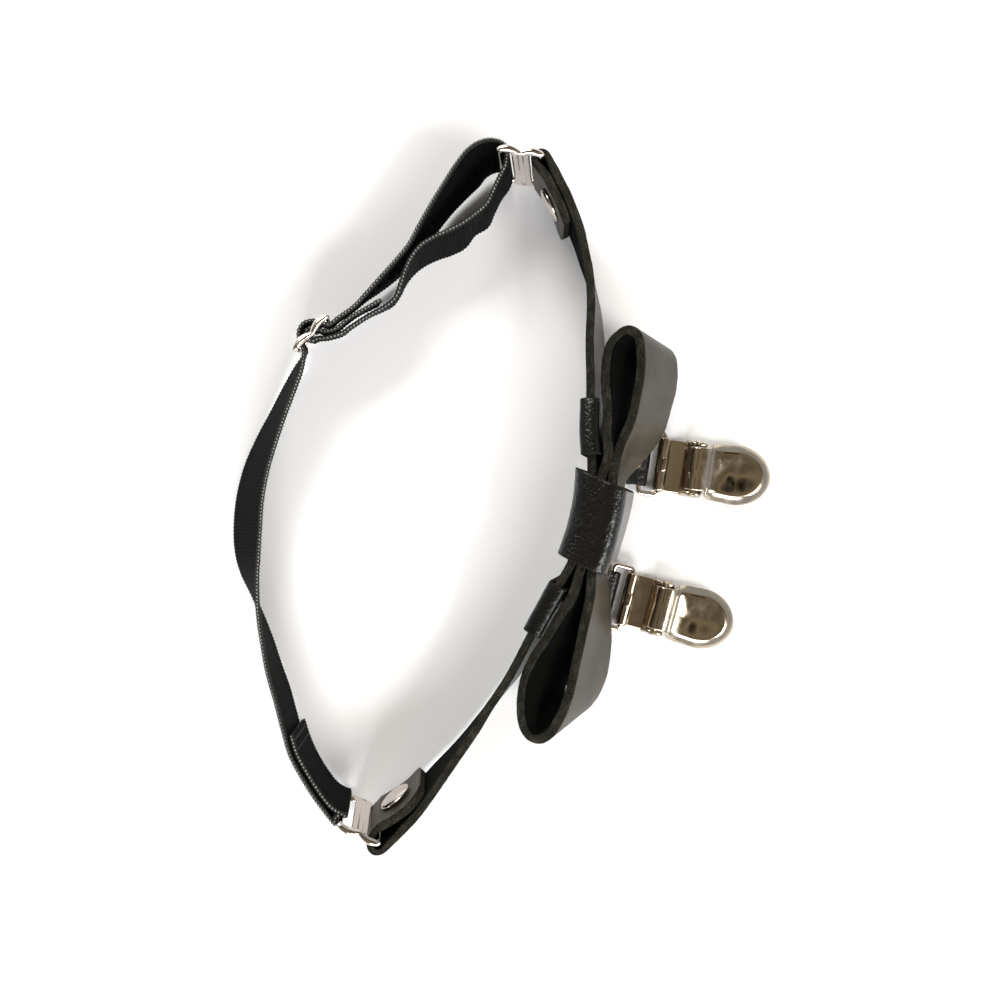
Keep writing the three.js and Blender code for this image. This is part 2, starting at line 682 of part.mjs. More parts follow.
// One line along a hanger, a closed way: from the ring's bar up the tail's under leaf, under the strap and up
// its inner face, over its rim, down its outer face, down the tail's upper leaf and round the bar.
function hangerLine(clip, aside) {
  const { rim, foot, down, out } = strapAt(clip.hangsAt + aside);
  const off = STRAP.thick / 2 + GAP + HANGER.thick / 2;
  const over = GAP + HANGER.thick / 2;
  const turn = RING.wire / 2 + 0.3 + HANGER.thick / 2;
  const onTail = (upTail, distance) => tailPoint(clip, aside * HANGER.tailShare, upTail, distance);
  const onStrap = (from, sunk, distance) => from.clone().addScaledVector(down, sunk).addScaledVector(out, distance);
  return [
    onTail(0.0, -turn),
    onTail(1.3, -turn * 0.72),
    onTail(2.4, -TAIL_LEAF),
    onTail(7.4, -TAIL_LEAF),
    onStrap(foot, 1.9, 0.6),
    onStrap(foot, 1.3, -off * 0.75),
    onStrap(foot, -1.2, -off),
    onStrap(rim, 10, -off),
    onStrap(rim, 1.2, -off),
    onStrap(rim, -over, -off * 0.85),
    onStrap(rim, -over - 0.5, 0),
    onStrap(rim, -over, off * 0.85),
    onStrap(rim, 1.2, off),
    onStrap(rim, 10, off),
    onStrap(foot, -1.3, off),
    onStrap(foot, 1.2, off + 0.5),
    onTail(7.4, TAIL_LEAF),
    onTail(2.4, TAIL_LEAF),
    onTail(1.3, turn * 0.72),
    onTail(0.0, turn),
    onTail(-turn * 0.75, turn * 0.66),
    onTail(-turn, 0),
    onTail(-turn * 0.75, -turn * 0.66),
  ];
}

function hangerGeometry(clip) {
  const half = HANGER.width / 2;
  const lines = [-half, 0, half].map((aside) => smoothed(hangerLine(clip, aside), 2, true));
  return bandAlong(lines, lines[0].map(() => HANGER.thick), true);
}

function hangerRivetSeat(clip) {
  const at = tailPoint(clip, 0, HANGER_RIVET.upTail, 0);
  const faces = tailPoint(clip, 0, HANGER_RIVET.upTail, 1).sub(at);
  return { at, faces, grip: 2 * TAIL_LEAF + HANGER.thick + 0.25 };
}

// Rings and clips
// The ring lies on the surface, with its far bar in the clip's rolled end and its near bar in the hanger.
function ringGeometry() {
  const halfLong = RING.length / 2 - RING.wire / 2;
  const rise = (RING.nearBarUp - CLIP.rollRadius) / RING.barGap;
  const corners = [
    [0 - RING.corner, halfLong - RING.corner, 0],
    [-RING.barGap + RING.corner, halfLong - RING.corner, 90],
    [-RING.barGap + RING.corner, -halfLong + RING.corner, 180],
    [0 - RING.corner, -halfLong + RING.corner, 270],
  ];
  const path = corners.flatMap(([along, aside, start]) => [0, 1, 2, 3].map((step) => {
    const angle = radians(start + step * 30);
    const x = along + RING.corner * Math.cos(angle);
    return vec(x, aside + RING.corner * Math.sin(angle), CLIP.rollRadius - x * rise);
  }));
  const loops = path.map((point, i) => {
    const before = path[(i + path.length - 1) % path.length];
    const after = path[(i + 1) % path.length];
    const way = after.clone().sub(before).normalize();
    const sidewise = vec().crossVectors(way, vec(0, 0, 1)).normalize();
    const upward = vec().crossVectors(sidewise, way);
    return Array.from({ length: 8 }, (_, k) => {
      const angle = (k / 8) * 2 * Math.PI;
      return point.clone()
        .addScaledVector(sidewise, (RING.wire / 2) * Math.cos(angle))
        .addScaledVector(upward, (RING.wire / 2) * Math.sin(angle));
    });
  });
  return loft(loops, true);
}

// Sheet of the clip's body seen from the side: the rolled end round the ring's bar and the flat plate.
function bodySheet() {
  const outer = CLIP.rollRadius;
  const inner = outer - CLIP.sheet + 0.1;
  const shape = new THREE.Shape();
  shape.moveTo(EAR.to, 0);
  shape.lineTo(0, 0);
  shape.absarc(0, outer, outer, radians(270), radians(-20), true);
  shape.absarc(0, outer, inner, radians(-20), radians(270), false);
  shape.lineTo(0.4, CLIP.sheet);
  shape.lineTo(EAR.to, CLIP.sheet);
  shape.closePath();
  const geometry = new THREE.ExtrudeGeometry(shape, { depth: CLIP.width, bevelEnabled: false, curveSegments: 14 });
  return geometry.translate(0, 0, -CLIP.width / 2).rotateX(Math.PI / 2);
}

// Lower jaw under the lever, with a rounded end.
function jawPlate() {
  const shape = new THREE.Shape();
  const half = CLIP.jawHalf;
  shape.moveTo(EAR.to - 1, -half);
  shape.lineTo(CLIP.jawTo - half, -half);
  shape.absarc(CLIP.jawTo - half, 0, half, radians(-90), radians(90), false);
  shape.lineTo(EAR.to - 1, half);
  shape.closePath();
  return new THREE.ExtrudeGeometry(shape, { depth: CLIP.sheet, bevelEnabled: false, curveSegments: 8 });
}

// Side ear with the pivot's hole, leaning in towards its top.
function ear(side) {
  const shape = new THREE.Shape();
  shape.moveTo(EAR.from, 0);
  shape.lineTo(EAR.to, 0);
  shape.lineTo(EAR.to, EAR.top - 2.2);
  shape.quadraticCurveTo(EAR.to, EAR.top, EAR.to - 2.4, EAR.top);
  shape.lineTo(EAR.from + 2.4, EAR.top);
  shape.quadraticCurveTo(EAR.from + 1, EAR.top, EAR.from, CLIP.sheet + 0.4);
  shape.closePath();
  const hole = new THREE.Path();
  hole.absarc(PIVOT.along, PIVOT.up, PIVOT.hole, 0, 2 * Math.PI, true);
  shape.holes.push(hole);
  const geometry = new THREE.ExtrudeGeometry(shape, { depth: CLIP.sheet, bevelEnabled: false, curveSegments: 6 });
  geometry.rotateX(Math.PI / 2);
  geometry.translate(0, side > 0 ? EAR.inner + CLIP.sheet : -EAR.inner, 0);
  const lean = new THREE.Matrix4().set(1, 0, 0, 0, 0, 1, -side * EAR.leanIn, 0, 0, 0, 1, 0, 0, 0, 0, 1);
  return geometry.applyMatrix4(lean);
}

// Small raised tab in the middle of the rolled end.
function rollTab() {
  return new THREE.BoxGeometry(1.7, 4.3, 0.8).translate(0.3, 0, 2 * CLIP.rollRadius - 0.1);
}

function clipBodyGeometry() {
  return joined([bodySheet(), jawPlate(), ear(1), ear(-1), rollTab()]);
}

// Lever: height of its upper face along the middle, and half its width, by distance from the ring.
const LEVER_ROWS = [
  // along, up, half
  [9.4, 6.2, 6.3],
  [10.0, 6.3, 6.3],
  [11.3, 6.2, 6.35],
  [12.1, 5.9, 6.4],
  [12.7, 5.6, 6.6],
  [13.3, 5.35, 7.7],
  [14.2, 4.95, 8.2],
  [16.2, 4.6, 8.4],
  [18.6, 4.7, 8.55],
  [20.8, 4.9, 8.7],
  [22.8, 5.0, 8.7],
  [25.2, 4.9, 8.05],
  [27.2, 4.65, 6.95],
  [28.8, 4.3, 5.55],
  [30.0, 3.8, 3.9],
  [30.9, 3.2, 2.1],
  [31.4, 2.8, 0.7],
];

// Distance from the middle towards the outline as a share, for the lever's turned-down rim.
function rimDrop(along, share) {
  const flare = THREE.MathUtils.smoothstep(along, 12.3, 14.5);
  const edge = Math.max(0, Math.abs(share) - LEVER.rimFrom) / (1 - LEVER.rimFrom);
  return flare * LEVER.rimDrop * edge ** 1.15;
}

// Shallow thumb hollow across the middle of the lever.
function thumbHollow(along, share) {
  const reach = THREE.MathUtils.smoothstep(along, 13, 18) * (1 - THREE.MathUtils.smoothstep(along, 25, 30));
  return reach * 0.7 * (1 - share ** 2);
}

function leverPlate() {
  const across = [-1, -0.93, -0.82, -0.6, -0.3, 0, 0.3, 0.6, 0.82, 0.93, 1];
  const loops = LEVER_ROWS.map(([along, up, half]) => {
    const squash = Math.min(1, half / 4);
    const top = across.map((share) => {
      const z = up - squash * rimDrop(along, share) - thumbHollow(along, share);
      return vec(along, share * half, z);
    });
    const narrowed = 1 - 0.5 / (half + 1);
    const under = top.map((point) => vec(point.x - 0.15, point.y * narrowed, point.z - LEVER.sheet));
    return [...top, ...under.reverse()];
  });
  return loft(loops);
}

function leverGeometry() {
  const knuckle = new THREE.CylinderGeometry(LEVER.knuckle, LEVER.knuckle, 2 * LEVER.half, 20);
  const pinLength = 2 * (EAR.inner + CLIP.sheet - EAR.leanIn * PIVOT.up + 0.3);
  const pin = new THREE.CylinderGeometry(PIVOT.pin, PIVOT.pin, pinLength, 10);
  const atPivot = [knuckle, pin].map((geometry) => geometry.translate(PIVOT.along, 0, PIVOT.up));
  return joined([...atPivot, leverPlate()]);
}

function placedClip(side, clip) {
  const assembly = new THREE.Group();
  assembly.position.set(clip.x, clip.y, 0);
  assembly.rotation.z = radians(clip.heading);
  assembly.add(namedMesh(`ring_${side}`, ringGeometry(), nickel()));
  assembly.add(namedMesh(`clip_body_${side}`, clipBodyGeometry(), warmNickel()));
  assembly.add(namedMesh(`clip_lever_${side}`, leverGeometry(), warmNickel()));
  return assembly;
}

// Assembly
const harness = new THREE.Group();
harness.position.set(-MIDDLE.x, -MIDDLE.y, 0);

const leftRivetSeat = strapRivetSeat(LEFT_RIVET.fromFold, LEFT_RIVET);
const rightRivetSeat = strapRivetSeat(RUN_LENGTH - RIGHT_RIVET.fromFold, RIGHT_RIVET);
const strapSolid = cutBy(band(strapRows(), 2), [
  rivetHole(STRAP_RIVET, leftRivetSeat),
  rivetHole(STRAP_RIVET, rightRivetSeat),
]);
harness.add(namedMesh('leather_strap', strapSolid, blackLeather()));
harness.add(namedMesh('bow', band(bowRows(), 2, true), blackLeather()));
harness.add(namedMesh('bow_knot', knotGeometry(), glossyLeather()));
harness.add(namedMesh('elastic_band', band(elasticRows(), 2), blackElastic()));
harness.add(connector('connector_left', LEFT_CONNECTOR));
harness.add(connector('connector_right', RIGHT_CONNECTOR));
harness.add(buckle('slider', SLIDER, [buckleBar(0)]));
harness.add(rivet('strap_rivet_left', STRAP_RIVET, leftRivetSeat));
harness.add(rivet('strap_rivet_right', STRAP_RIVET, rightRivetSeat));

for (const [side, clip] of [['left', LEFT_CLIP], ['right', RIGHT_CLIP]]) {
  const seat = hangerRivetSeat(clip);
  const solid = cutBy(hangerGeometry(clip), [rivetHole(HANGER_RIVET, seat)]);
  harness.add(namedMesh(`clip_hanger_${side}`, solid, glossyLeather()));
  harness.add(rivet(`hanger_rivet_${side}`, HANGER_RIVET, seat));
  harness.add(placedClip(side, clip));
}

export default harness;
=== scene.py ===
# Thigh harness: black leather front strap with a bow, adjustable elastic back and two garter clips.
# It lies in a ring on its strap edges, and the clips lie on the surface in front of the bow.
# Sizes and tables are millimetres, +Z up, the bow towards -Y. Going round the loop from the front strap
# over +X, the side that faces out is always on the right-hand side.
import math

import bmesh
import bpy
import numpy as np
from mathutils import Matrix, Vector


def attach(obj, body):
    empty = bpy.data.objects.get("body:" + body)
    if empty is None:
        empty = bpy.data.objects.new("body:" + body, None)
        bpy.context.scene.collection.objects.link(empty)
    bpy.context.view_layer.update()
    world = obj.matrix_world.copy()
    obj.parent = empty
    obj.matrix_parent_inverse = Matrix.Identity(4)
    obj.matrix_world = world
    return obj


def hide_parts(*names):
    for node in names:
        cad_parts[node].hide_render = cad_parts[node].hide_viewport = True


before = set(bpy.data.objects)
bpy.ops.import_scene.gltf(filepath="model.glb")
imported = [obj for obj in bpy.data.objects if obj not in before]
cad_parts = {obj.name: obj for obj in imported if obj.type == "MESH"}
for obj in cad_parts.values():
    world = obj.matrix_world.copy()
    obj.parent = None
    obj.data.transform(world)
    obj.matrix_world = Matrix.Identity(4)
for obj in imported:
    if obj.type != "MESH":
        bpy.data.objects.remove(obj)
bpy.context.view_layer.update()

MM = 0.001
# The tables' point that stands over the frame's origin
MIDDLE = np.array([1.17, -10.29, 0.0])

# Room between layers that lie on each other
GAP = 0.35
STRAP = {"width": 20.0, "thick": 2.3, "skived": 1.8}
BOW = {"width": 20.0, "thick": 2.6}
KNOT = {"from": 90.4, "to": 113.9, "wall": 1.9, "slack": 0.6, "slack_inside": 1.5, "corner": 4.2}
KNOT_SKEW = {"left": 0.04, "right": 0.38}
ELASTIC = {"width": 19.0, "thick": 1.15, "rib": 1.0}
BUCKLE = {"bar": 0.65, "rail": 1.05, "plate_from": 0.6, "plate_to": 2.5, "plate_thick": 1.3}
HANGER = {"width": 15.0, "thick": 1.2, "tail_share": 0.93}
STRAP_RIVET = {"cap": 4.85, "height": 1.1, "post": 1.5}
HANGER_RIVET = {"cap": 2.8, "height": 0.8, "post": 1.0, "up_tail": 4.7}
RING = {"wire": 1.6, "length": 19.8, "bar_gap": 5.9, "corner": 1.3, "near_bar_up": 2.6}
CLIP = {"width": 15.5, "sheet": 0.9, "roll": 1.9, "jaw_to": 28.0, "jaw_half": 6.6}
EAR = {"from": 6.3, "to": 12.4, "top": 5.4, "inner": 7.5, "lean_in": 0.17}
PIVOT = {"along": 9.4, "up": 3.9, "pin": 0.85}
LEVER = {"half": 6.3, "knuckle": 2.3, "sheet": 0.9}
PAD = {"round_from": 21.4, "length": 10.0, "half": 8.75, "rim": 2.6, "rim_drop": 1.7, "hollow": 0.85}
# Where along the lever the pad's rim and its hollow begin and are full
PAD_STARTS = {"rim": (12.3, 15.5), "hollow": (13.5, 19.5)}

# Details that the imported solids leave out
STITCH = {"length": 2.0, "pitch": 2.6, "margin": 1.0, "thread": 0.16, "rise": 0.22, "sunk": 0.08}
EYELET = {"radius": 1.25, "wire": 0.22}
SPRING = {"radius": 1.15, "wire": 0.3, "pitch": 0.72, "turns": 11.5, "starts_at": -4.2}
TAB = {"along": 0.3, "half_along": 0.85, "half_aside": 2.15}

# Heights in an upright buckle: the strap's foot and the upper rail's middle, with a little room at each edge
EDGE_ROOM = 0.3
BUCKLE_LIFT = 2 * BUCKLE["rail"] + EDGE_ROOM
RAIL_UP = BUCKLE_LIFT + STRAP["width"] + EDGE_ROOM + BUCKLE["rail"]

# The three double-loop buckles: middle of each, heading of the way round the loop, and lean of the foot
RIGHT_CONNECTOR = {"x": 92.7, "y": -14.95, "heading": 82.4, "kick": (0.0, -2.2), "bar_at": 5.6}
LEFT_CONNECTOR = {"x": -88.95, "y": 28.35, "heading": -115.1, "kick": (0.8, 1.2), "bar_at": 5.6}
SLIDER = {"x": 44.8, "y": 41.3, "heading": 135.6, "kick": (2.9, 2.6), "bar_at": 6.0}

# The two clips: middle of the rolled end on its ring, heading from there to the tip, the place of the hanger
# as a length along the strap, and the slope of the hanger's tail in degrees
CLIPS = {
    "right": {"x": 10.4, "y": -57.3, "heading": -98.5, "hangs_at": 126.5, "slope": 39.0},
    "left": {"x": -28.9, "y": -47.2, "heading": -104.6, "hangs_at": 75.3, "slope": 32.0},
}

# Front strap, from the left connector under the hangers and the knot to the right connector.
STRAP_RUN = [
    # rim x, rim y, foot's kick x, kick y, foot's lift, thickness where it isn't the strap's own
    (-91.8, 19.5, 0.9, 1.2, 2.3, 2.0),
    (-87.7, 15.6, 0.9, 1.2, 2.3),
    (-84.7, 12.9, 0.8, 1.0, 2.2),
    (-79.3, 8.9, 0.4, 0.5, 2.0),
    (-70.3, 2.7, -0.7, -1.0, 1.7),
    (-61.8, -3.1, -1.2, -1.9, 1.6),
    (-56.4, -6.3, -1.5, -2.6, 1.6),
    (-49.7, -10.7, -1.9, -3.5, 2.0),
    (-44.2, -13.7, -1.9, -4.5, 2.9),
    (-35.1, -18.2, -1.2, -5.0, 4.4),
    (-29.1, -21.3, -0.6, -5.2, 5.6),
    (-23.1, -24.4, 0.0, -5.2, 6.8),
    (-17.3, -27.7, 0.2, -5.1, 7.4),
    (-9.2, -30.5, 0.1, -5.3, 7.9),
    (0.0, -32.5, -0.2, -5.6, 8.2),
    (8.7, -33.3, -0.6, -5.9, 8.1),
    (17.9, -32.9, -1.2, -6.6, 7.5),
    (26.2, -33.2, -1.7, -7.2, 6.9),
    (33.2, -33.4, -1.6, -7.6, 5.5),
    (43.0, -33.5, -0.8, -6.3, 3.2),
    (53.7, -34.0, 0.0, -4.8, 1.9),
    (61.9, -33.5, 0.4, -3.4, 1.6),
    (68.3, -32.2, 0.6, -2.4, 1.6),
    (73.5, -31.0, 0.4, -1.9, 1.8),
    (78.4, -29.2, 0.1, -1.8, 2.0),
    (82.8, -27.3, 0.0, -2.1, 2.2),
    (86.7, -25.3, 0.0, -2.2, 2.3),
    (89.2, -24.0, 0.0, -2.2, 2.4),
    (91.0, -23.1, 0.0, -2.2, 2.4, 2.0),
]

# Folded ends of the strap: the left fold is loose round its bar, the right one tight.
LEFT_FLAP = [
    # length from the fold, distance between the layers, rounding of the corners
    (0.6, 4.9, 0.0),
    (2.4, 4.4, 0.0),
    (5.6, 3.5, 0.0),
    (10.0, 2.8, 0.0),
    (13.4, 2.65, 0.0),
    (14.8, 2.65, 0.7),
    (15.4, 2.65, 2.4),
]

RIGHT_FLAP = [
    # length from the fold, distance between the layers, rounding of the corners
    (0.6, 3.1, 0.0),
    (2.4, 2.7, 0.0),
    (6.0, 2.65, 0.0),
    (10.0, 2.65, 0.0),
    (13.8, 2.65, 0.0),
    (15.4, 2.65, 0.6),
    (16.1, 2.65, 2.4),
]

# Loose fold from the left flap round the connector's bar to the run.
LEFT_FOLD = [
    # along the connector, out from it
    (4.2, -2.1),
    (3.75, -0.9),
    (3.65, 0.6),
    (3.95, 2.1),
    (4.9, 3.3),
    (6.3, 3.6),
    (7.6, 2.7),
]

# The rivet through each flap: length from the fold, how far apart the layers' middles are, how much longer
# than the grip its post is, and how far it leans to stand square between layers that part.
RIVET_SEATS = {
    "left": {"from_fold": 5.8, "apart": 3.45, "spare": 1.1, "lean": 0.14},
    "right": {"from_fold": 7.2, "apart": 2.65, "spare": 0.3, "lean": 0.0},
}

# Elastic: sewn tail between the two upper layers.
SEWN_TAIL = [
    # rim x, rim y, kick x, kick y, lift
    (54.3, 22.6, 2.9, 2.6, 1.9),
    (52.5, 25.7, 3.0, 2.7, 2.1),
    (50.8, 28.6, 3.1, 2.7, 2.3),
    (48.8, 31.7, 2.9, 2.6, 2.5),
]

# The tail over the slider's middle bar and back.
TAIL_IN_SLIDER = [
    # along, out
    (-6.0, -3.75),
    (-3.1, -2.1),
    (-1.62, 0.3),
    (-0.85, 1.47),
    (0.55, 1.62),
    (1.65, 0.4),
    (1.2, -1.2),
    (-0.2, -1.85),
    (-2.8, -3.9),
    (-6.0, -5.6),
]

# Inner layer, from the slider to the right connector.
INNER_LAYER = [
    # rim x, rim y, kick x, kick y, lift
    (46.8, 30.9, 3.0, 2.7, 2.5),
    (48.7, 28.1, 3.1, 2.7, 2.3),
    (50.6, 25.0, 3.1, 2.8, 2.1),
    (52.5, 21.7, 2.8, 2.6, 1.9),
    (55.1, 18.8, 2.0, 2.3, 1.7),
    (58.9, 17.4, 0.9, 1.8, 1.7),
    (62.9, 16.1, 0.5, 1.2, 1.6),
    (66.4, 14.3, 0.2, 0.3, 1.6),
    (69.3, 11.9, -0.5, -0.4, 1.6),
    (71.6, 8.2, -1.0, -0.6, 1.6),
    (73.2, 4.6, -1.4, -0.6, 1.6),
    (75.2, 0.6, -1.4, -0.5, 1.8),
    (77.5, -2.7, -0.3, 0.2, 2.0),
    (80.2, -5.8, -0.4, -0.7, 2.2),
    (83.5, -7.5, -0.3, -0.6, 2.4),
    (87.3, -9.3, -0.1, -0.8, 2.7),
    (90.4, -10.8, 0.0, -1.6, 2.9),
]

# Loose turn round the right connector, then the outer layer back to the slider.
OUTER_LAYER = [
    # rim x, rim y, kick x, kick y, lift
    (92.6, -11.1, 0.0, -2.2, 2.9),
    (94.3, -11.3, -0.1, -2.0, 2.9),
    (96.1, -10.4, -0.6, -1.2, 2.8),
    (97.3, -8.2, -1.8, -0.4, 2.6),
    (97.4, -4.8, -3.6, -0.8, 2.3),
    (95.6, -1.1, -3.9, -2.9, 2.0),
    (91.5, 2.3, -2.5, -3.4, 1.8),
    (85.8, 5.9, -1.5, -2.3, 1.6),
    (80.0, 9.4, -1.0, -1.5, 1.6),
    (74.3, 12.6, -0.5, -0.8, 1.6),
    (69.4, 15.2, 0.0, 0.0, 1.6),
    (64.6, 19.1, 0.5, 0.6, 1.7),
    (60.4, 22.8, 1.2, 1.3, 1.9),
    (55.8, 26.8, 2.4, 2.2, 2.2),
    (52.4, 29.9, 2.9, 2.6, 2.5),
]

# The outer layer over the slider's middle bar.
OUTER_IN_SLIDER = [
    # along, out
    (-7.6, -1.95),
    (-6.0, -1.8),
    (-4.7, -1.25),
    (-4.05, 0.1),
    (-3.1, 1.9),
    (-1.6, 3.2),
    (0.0, 3.6),
    (1.6, 3.2),
    (3.1, 1.9),
    (4.05, 0.1),
    (4.75, -1.5),
]

# Lower run, leaning in at its rim, then upright again before the left connector.
LOWER_RUN = [
    # rim x, rim y, kick x, kick y, lift
    (35.9, 44.2, 2.3, 5.3, 2.2),
    (30.4, 46.2, 2.5, 6.4, 1.8),
    (22.9, 49.2, 2.7, 7.3, 1.4),
    (16.2, 51.6, 2.7, 8.6, 1.2),
    (8.0, 54.2, 2.0, 10.0, 1.0),
    (-0.3, 55.8, 0.9, 10.8, 0.9),
    (-8.5, 56.4, 0.0, 11.0, 0.9),
    (-15.4, 56.7, -0.5, 10.2, 0.9),
    (-21.1, 56.8, -0.4, 8.4, 1.0),
    (-26.2, 56.6, -0.5, 6.0, 1.0),
    (-31.6, 56.2, -0.6, 3.8, 1.1),
    (-39.7, 55.0, -0.5, 1.7, 1.2),
    (-47.5, 53.5, -0.2, 0.6, 1.4),
    (-54.8, 51.4, 0.0, 0.1, 1.6),
    (-61.8, 49.5, 0.0, 0.0, 1.9),
    (-69.4, 47.2, 0.0, 0.0, 2.1),
    (-75.2, 44.0, 0.2, 0.5, 2.4),
    (-80.9, 40.3, 0.6, 1.0, 2.7),
]

# End folded back on the inner side of the lower run and sewn down.
SEWN_FOLD = [
    # rim x, rim y, kick x, kick y, lift
    (-83.2, 35.9, 0.8, 1.2, 2.9),
    (-80.0, 38.7, 0.6, 1.0, 2.7),
    (-74.3, 42.5, 0.2, 0.6, 2.4),
    (-68.7, 45.6, 0.0, 0.0, 2.2),
    (-63.8, 47.2, 0.0, 0.0, 2.0),
]

# Bow: left loop, from the outer leaf round to the inner one.
LEFT_LOOP = [
    # rim x, rim y, kick x, kick y, lift
    (-24.8, -32.7, 0.6, -7.0, 10.4),
    (-33.2, -31.2, 1.2, -9.0, 9.7),
    (-42.2, -29.4, 2.0, -11.0, 9.8),
    (-53.0, -27.0, 3.0, -12.0, 9.7),
    (-59.6, -24.2, 3.6, -11.9, 9.4),
    (-62.6, -22.0, 4.1, -11.7, 9.2),
    (-63.9, -19.4, 4.5, -11.6, 9.1),
    (-63.2, -17.0, 4.6, -11.7, 9.1),
    (-60.6, -15.3, 4.4, -12.0, 9.2),
    (-56.4, -14.6, 3.9, -13.0, 9.9),
    (-51.2, -14.8, 3.3, -14.6, 11.3),
    (-46.5, -15.9, 2.8, -15.3, 12.1),
    (-42.1, -17.9, 2.4, -15.0, 12.1),
    (-37.1, -21.1, 1.9, -14.2, 12.0),
    (-31.2, -24.4, 1.3, -11.6, 11.1),
    (-25.4, -27.9, 0.7, -8.4, 10.2),
]

# Bow: right loop, from the inner leaf round to the outer one.
RIGHT_LOOP = [
    # rim x, rim y, kick x, kick y, lift
    (17.2, -37.1, -1.6, -9.4, 10.7),
    (24.4, -37.3, -2.1, -10.8, 10.8),
    (32.6, -36.9, -2.8, -11.9, 10.2),
    (41.2, -38.3, -3.2, -12.4, 9.6),
    (44.1, -40.6, -3.3, -12.5, 9.3),
    (45.5, -43.0, -3.3, -12.6, 9.2),
    (44.9, -45.0, -3.3, -12.7, 9.2),
    (43.2, -46.2, -3.3, -12.7, 9.2),
    (39.4, -46.7, -3.2, -12.6, 9.4),
    (34.2, -46.5, -3.0, -12.3, 9.7),
    (28.8, -45.5, -2.8, -11.8, 10.2),
    (20.6, -43.4, -2.3, -11.2, 11.2),
    (13.6, -40.4, -1.6, -9.4, 10.6),
]

# Bow: its two leaves in the knot, and how far out from the strap's middle each lies.
INNER_LEAF_AT = STRAP["thick"] / 2 + GAP + BOW["thick"] / 2
OUTER_LEAF_AT = INNER_LEAF_AT + BOW["thick"] + GAP

OUTER_LEAF = [
    # length along the strap, distance out from it
    (113.4, OUTER_LEAF_AT),
    (106.0, OUTER_LEAF_AT),
    (98.5, OUTER_LEAF_AT),
    (94.0, OUTER_LEAF_AT),
    (90.3, OUTER_LEAF_AT),
]

INNER_LEAF = [
    # length along the strap, distance out from it
    (90.3, INNER_LEAF_AT),
    (94.0, INNER_LEAF_AT),
    (98.5, INNER_LEAF_AT),
    (106.0, INNER_LEAF_AT),
    (113.4, INNER_LEAF_AT),
    (118.4, INNER_LEAF_AT + 1.65),
]

# Half of a buckle's rail, from its tip to the pinch in the middle.
RAIL_HALF = [
    # along as a share, out, radius as a share
    (-1.0, 0.1, 0.42),
    (-0.93, 0.25, 0.7),
    (-0.78, 0.55, 0.92),
    (-0.52, 0.8, 1.0),
    (-0.25, 0.5, 0.88),
    (0.0, 0.0, 0.66),
]

# Clip lever: its upper face along the middle and half its width, as far as the pad's round end.
LEVER_ROWS = [
    # along, up, half
    (9.4, 6.2, 6.3),
    (10.0, 6.3, 6.3),
    (11.3, 6.2, 6.35),
    (12.1, 5.9, 6.4),
    (12.7, 5.6, 6.6),
    (13.3, 5.35, 7.7),
    (14.2, 4.95, 8.2),
    (16.2, 4.6, 8.4),
    (18.6, 4.7, 8.55),
    (20.8, 4.9, 8.7),
    (22.8, 5.0, 8.7),
    (25.2, 4.9, 8.05),
]

# Tab on a clip's rolled end.
TAB_ROWS = [
    # up, how far its sides are drawn in, corner
    (3.3, 0.0, 0.5),
    (3.9, 0.0, 0.5),
    (4.15, 0.08, 0.46),
    (4.35, 0.25, 0.375),
    (4.45, 0.5, 0.2),
]


# Curves and bands
def curve_points(rows, places, closed=False):
    """Points of the centripetal curve through the rows, at places counted in rows from the first."""
    rows = np.asarray(rows, float)
    if closed:
        padded = np.vstack([rows[-1:], rows, rows[:2]])
    else:
        padded = np.vstack([2 * rows[0] - rows[1], rows, 2 * rows[-1] - rows[-2]])
    places = np.asarray(places, float)
    start = np.minimum(places.astype(int), len(padded) - 4)
    w = (places - start)[:, None]
    a, b, c, d = (padded[start + k] for k in range(4))
    steps = [np.linalg.norm(q - p, axis=1)[:, None] ** 0.5 for p, q in ((a, b), (b, c), (c, d))]
    mid = np.where(steps[1] < 1e-4, 1.0, steps[1])
    before = np.where(steps[0] < 1e-4, mid, steps[0])
    after = np.where(steps[2] < 1e-4, mid, steps[2])
    leave = mid * ((b - a) / before - (c - a) / (before + mid) + (c - b) / mid)
    arrive = mid * ((c - b) / mid - (d - b) / (mid + after) + (d - c) / after)
    return (
        b
        + leave * w
        + (3 * (c - b) - 2 * leave - arrive) * w**2
        + (2 * (b - c) + leave + arrive) * w**3
    )


def unit(vectors):
    return vectors / np.maximum(np.linalg.norm(vectors, axis=-1, keepdims=True), 1e-12)


def read_rows(table, spec):
    """Rows of a band: its rim, its foot and its thickness, as seven numbers each."""
    rows = []
    for x, y, kick_x, kick_y, lift, *own in table:
        drop = math.sqrt(spec["width"] ** 2 - kick_x**2 - kick_y**2)
        thick = own[0] if own else spec["thick"]
        rows.append((x, y, lift + drop, x + kick_x, y + kick_y, lift, thick))
    return np.array(rows)


def beside(buckle, along, out, spec, thick=None):
    """A row of a band at a buckle: along the way round the loop from its middle, and out of the loop."""
    turn = math.radians(buckle["heading"])
    x = buckle["x"] + along * math.cos(turn) + out * math.sin(turn)
    y = buckle["y"] + along * math.sin(turn) - out * math.cos(turn)
    lift = BUCKLE_LIFT + (STRAP["width"] - spec["width"]) / 2
    return read_rows([(x, y, *buckle["kick"], lift, thick or spec["thick"])], spec)


def round_bar(buckle, side, radius, start, end, steps, spec, thick=None):
    """Rows of a band that turns round one bar of a buckle, between two directions off the bar in degrees."""
    rows = []
    for angle in np.linspace(start, end, steps + 1):
        off = math.radians(angle - buckle["heading"])
        along = side * buckle["bar_at"] + radius * math.cos(off)
        rows.append(beside(buckle, along, -radius * math.sin(off), spec, thick))
    return np.vstack(rows)


